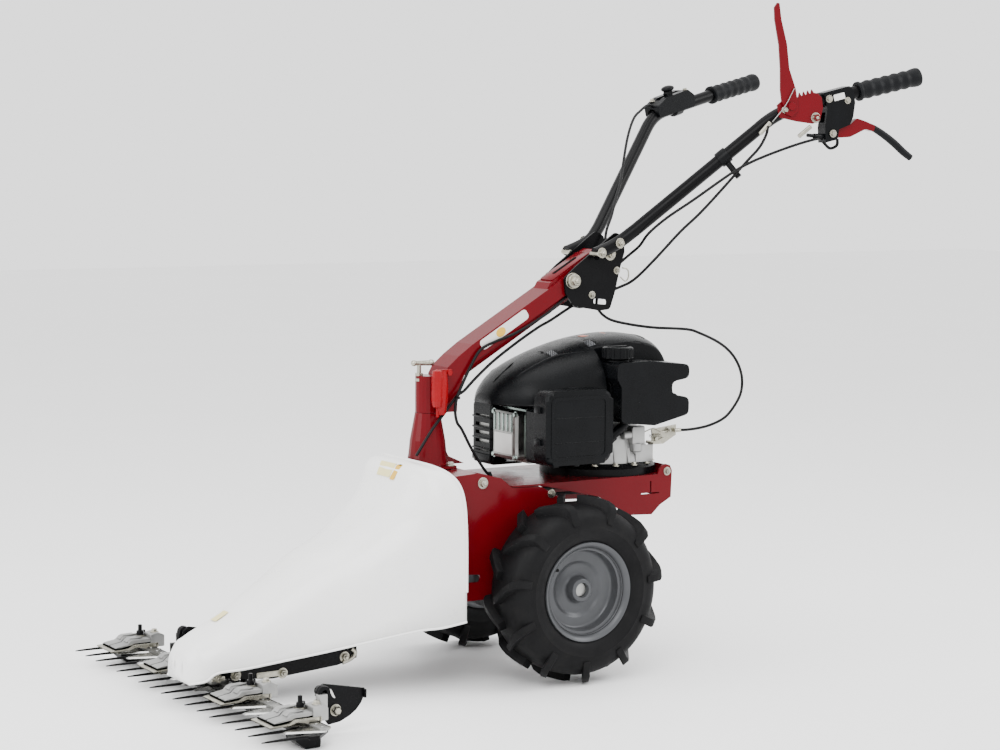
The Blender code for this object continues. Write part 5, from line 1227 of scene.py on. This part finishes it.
# ---------------------------------------------------------------- camera, light and floor
CAMERA_ROLL = 0.38
CAMERA_SPOT = Vector((2.39344, 3.80744, 0.99138))
CAMERA_TARGET = Vector((0.05, 0.0, 0.5593))
LIGHT_TARGET = Vector((0, 0, 0.45))
LIGHTS = (
    ("key light", (2.2, 2.6, 3.2), 2.4, 120.0), ("front fill", (3.4, -0.6, 1.8), 2.2, 60.0),
    ("rear strip", (-2.4, 1.8, 2.4), 1.6, 60.0), ("top light", (0.0, 0.0, 3.6), 2.5, 60.0),
)


def studio():
    """Camera at the photo's angle, a pale floor, a white sky and four soft lamps."""
    collection = bpy.context.scene.collection
    data = bpy.data.cameras.new("camera")
    data.lens = 85.05
    data.sensor_width = 36.0
    data.clip_end = 60.0
    camera = bpy.data.objects.new("camera", data)
    collection.objects.link(camera)
    turn = (CAMERA_TARGET - CAMERA_SPOT).to_track_quat("-Z", "Y").to_matrix().to_4x4()
    roll = Matrix.Rotation(math.radians(CAMERA_ROLL), 4, "Z")
    camera.matrix_world = Matrix.Translation(CAMERA_SPOT) @ turn @ roll
    bpy.context.scene.camera = camera

    floor = bmesh.new()
    bmesh.ops.create_grid(floor, x_segments=2, y_segments=2, size=14.0)
    mesh = bpy.data.meshes.new("floor")
    floor.to_mesh(mesh)
    floor.free()
    ground = bpy.data.objects.new("floor", mesh)
    ground.location.z = -0.0004
    collection.objects.link(ground)
    mesh.materials.append(finish_of("studio floor", (0.93, 0.93, 0.93), 0.55, mottle=(1.0, 0.01),
                                    grain=(200.0, 0.01), edge=0.0))

    world = bpy.context.scene.world or bpy.data.worlds.new("world")
    bpy.context.scene.world = world
    world.use_nodes = True
    back = world.node_tree.nodes["Background"]
    back.inputs["Color"].default_value = (1.0, 1.0, 1.0, 1.0)
    back.inputs["Strength"].default_value = 1.9
    for name, spot, size, power in LIGHTS:
        light = bpy.data.lights.new(name, "AREA")
        light.energy = power
        light.size = size
        lamp = bpy.data.objects.new(name, light)
        lamp.location = spot
        lamp.rotation_mode = "QUATERNION"
        lamp.rotation_quaternion = (LIGHT_TARGET - Vector(spot)).to_track_quat("-Z", "Y")
        collection.objects.link(lamp)


studio()
colour_nodes()
wheels()
hood()
cowl()
filter_details()
engine_details()
tank_details()
bolts()
column_details()
handlebars()
left_controls()
right_controls()
cables()
cutter_bar()
knife()
clamps()
skids()
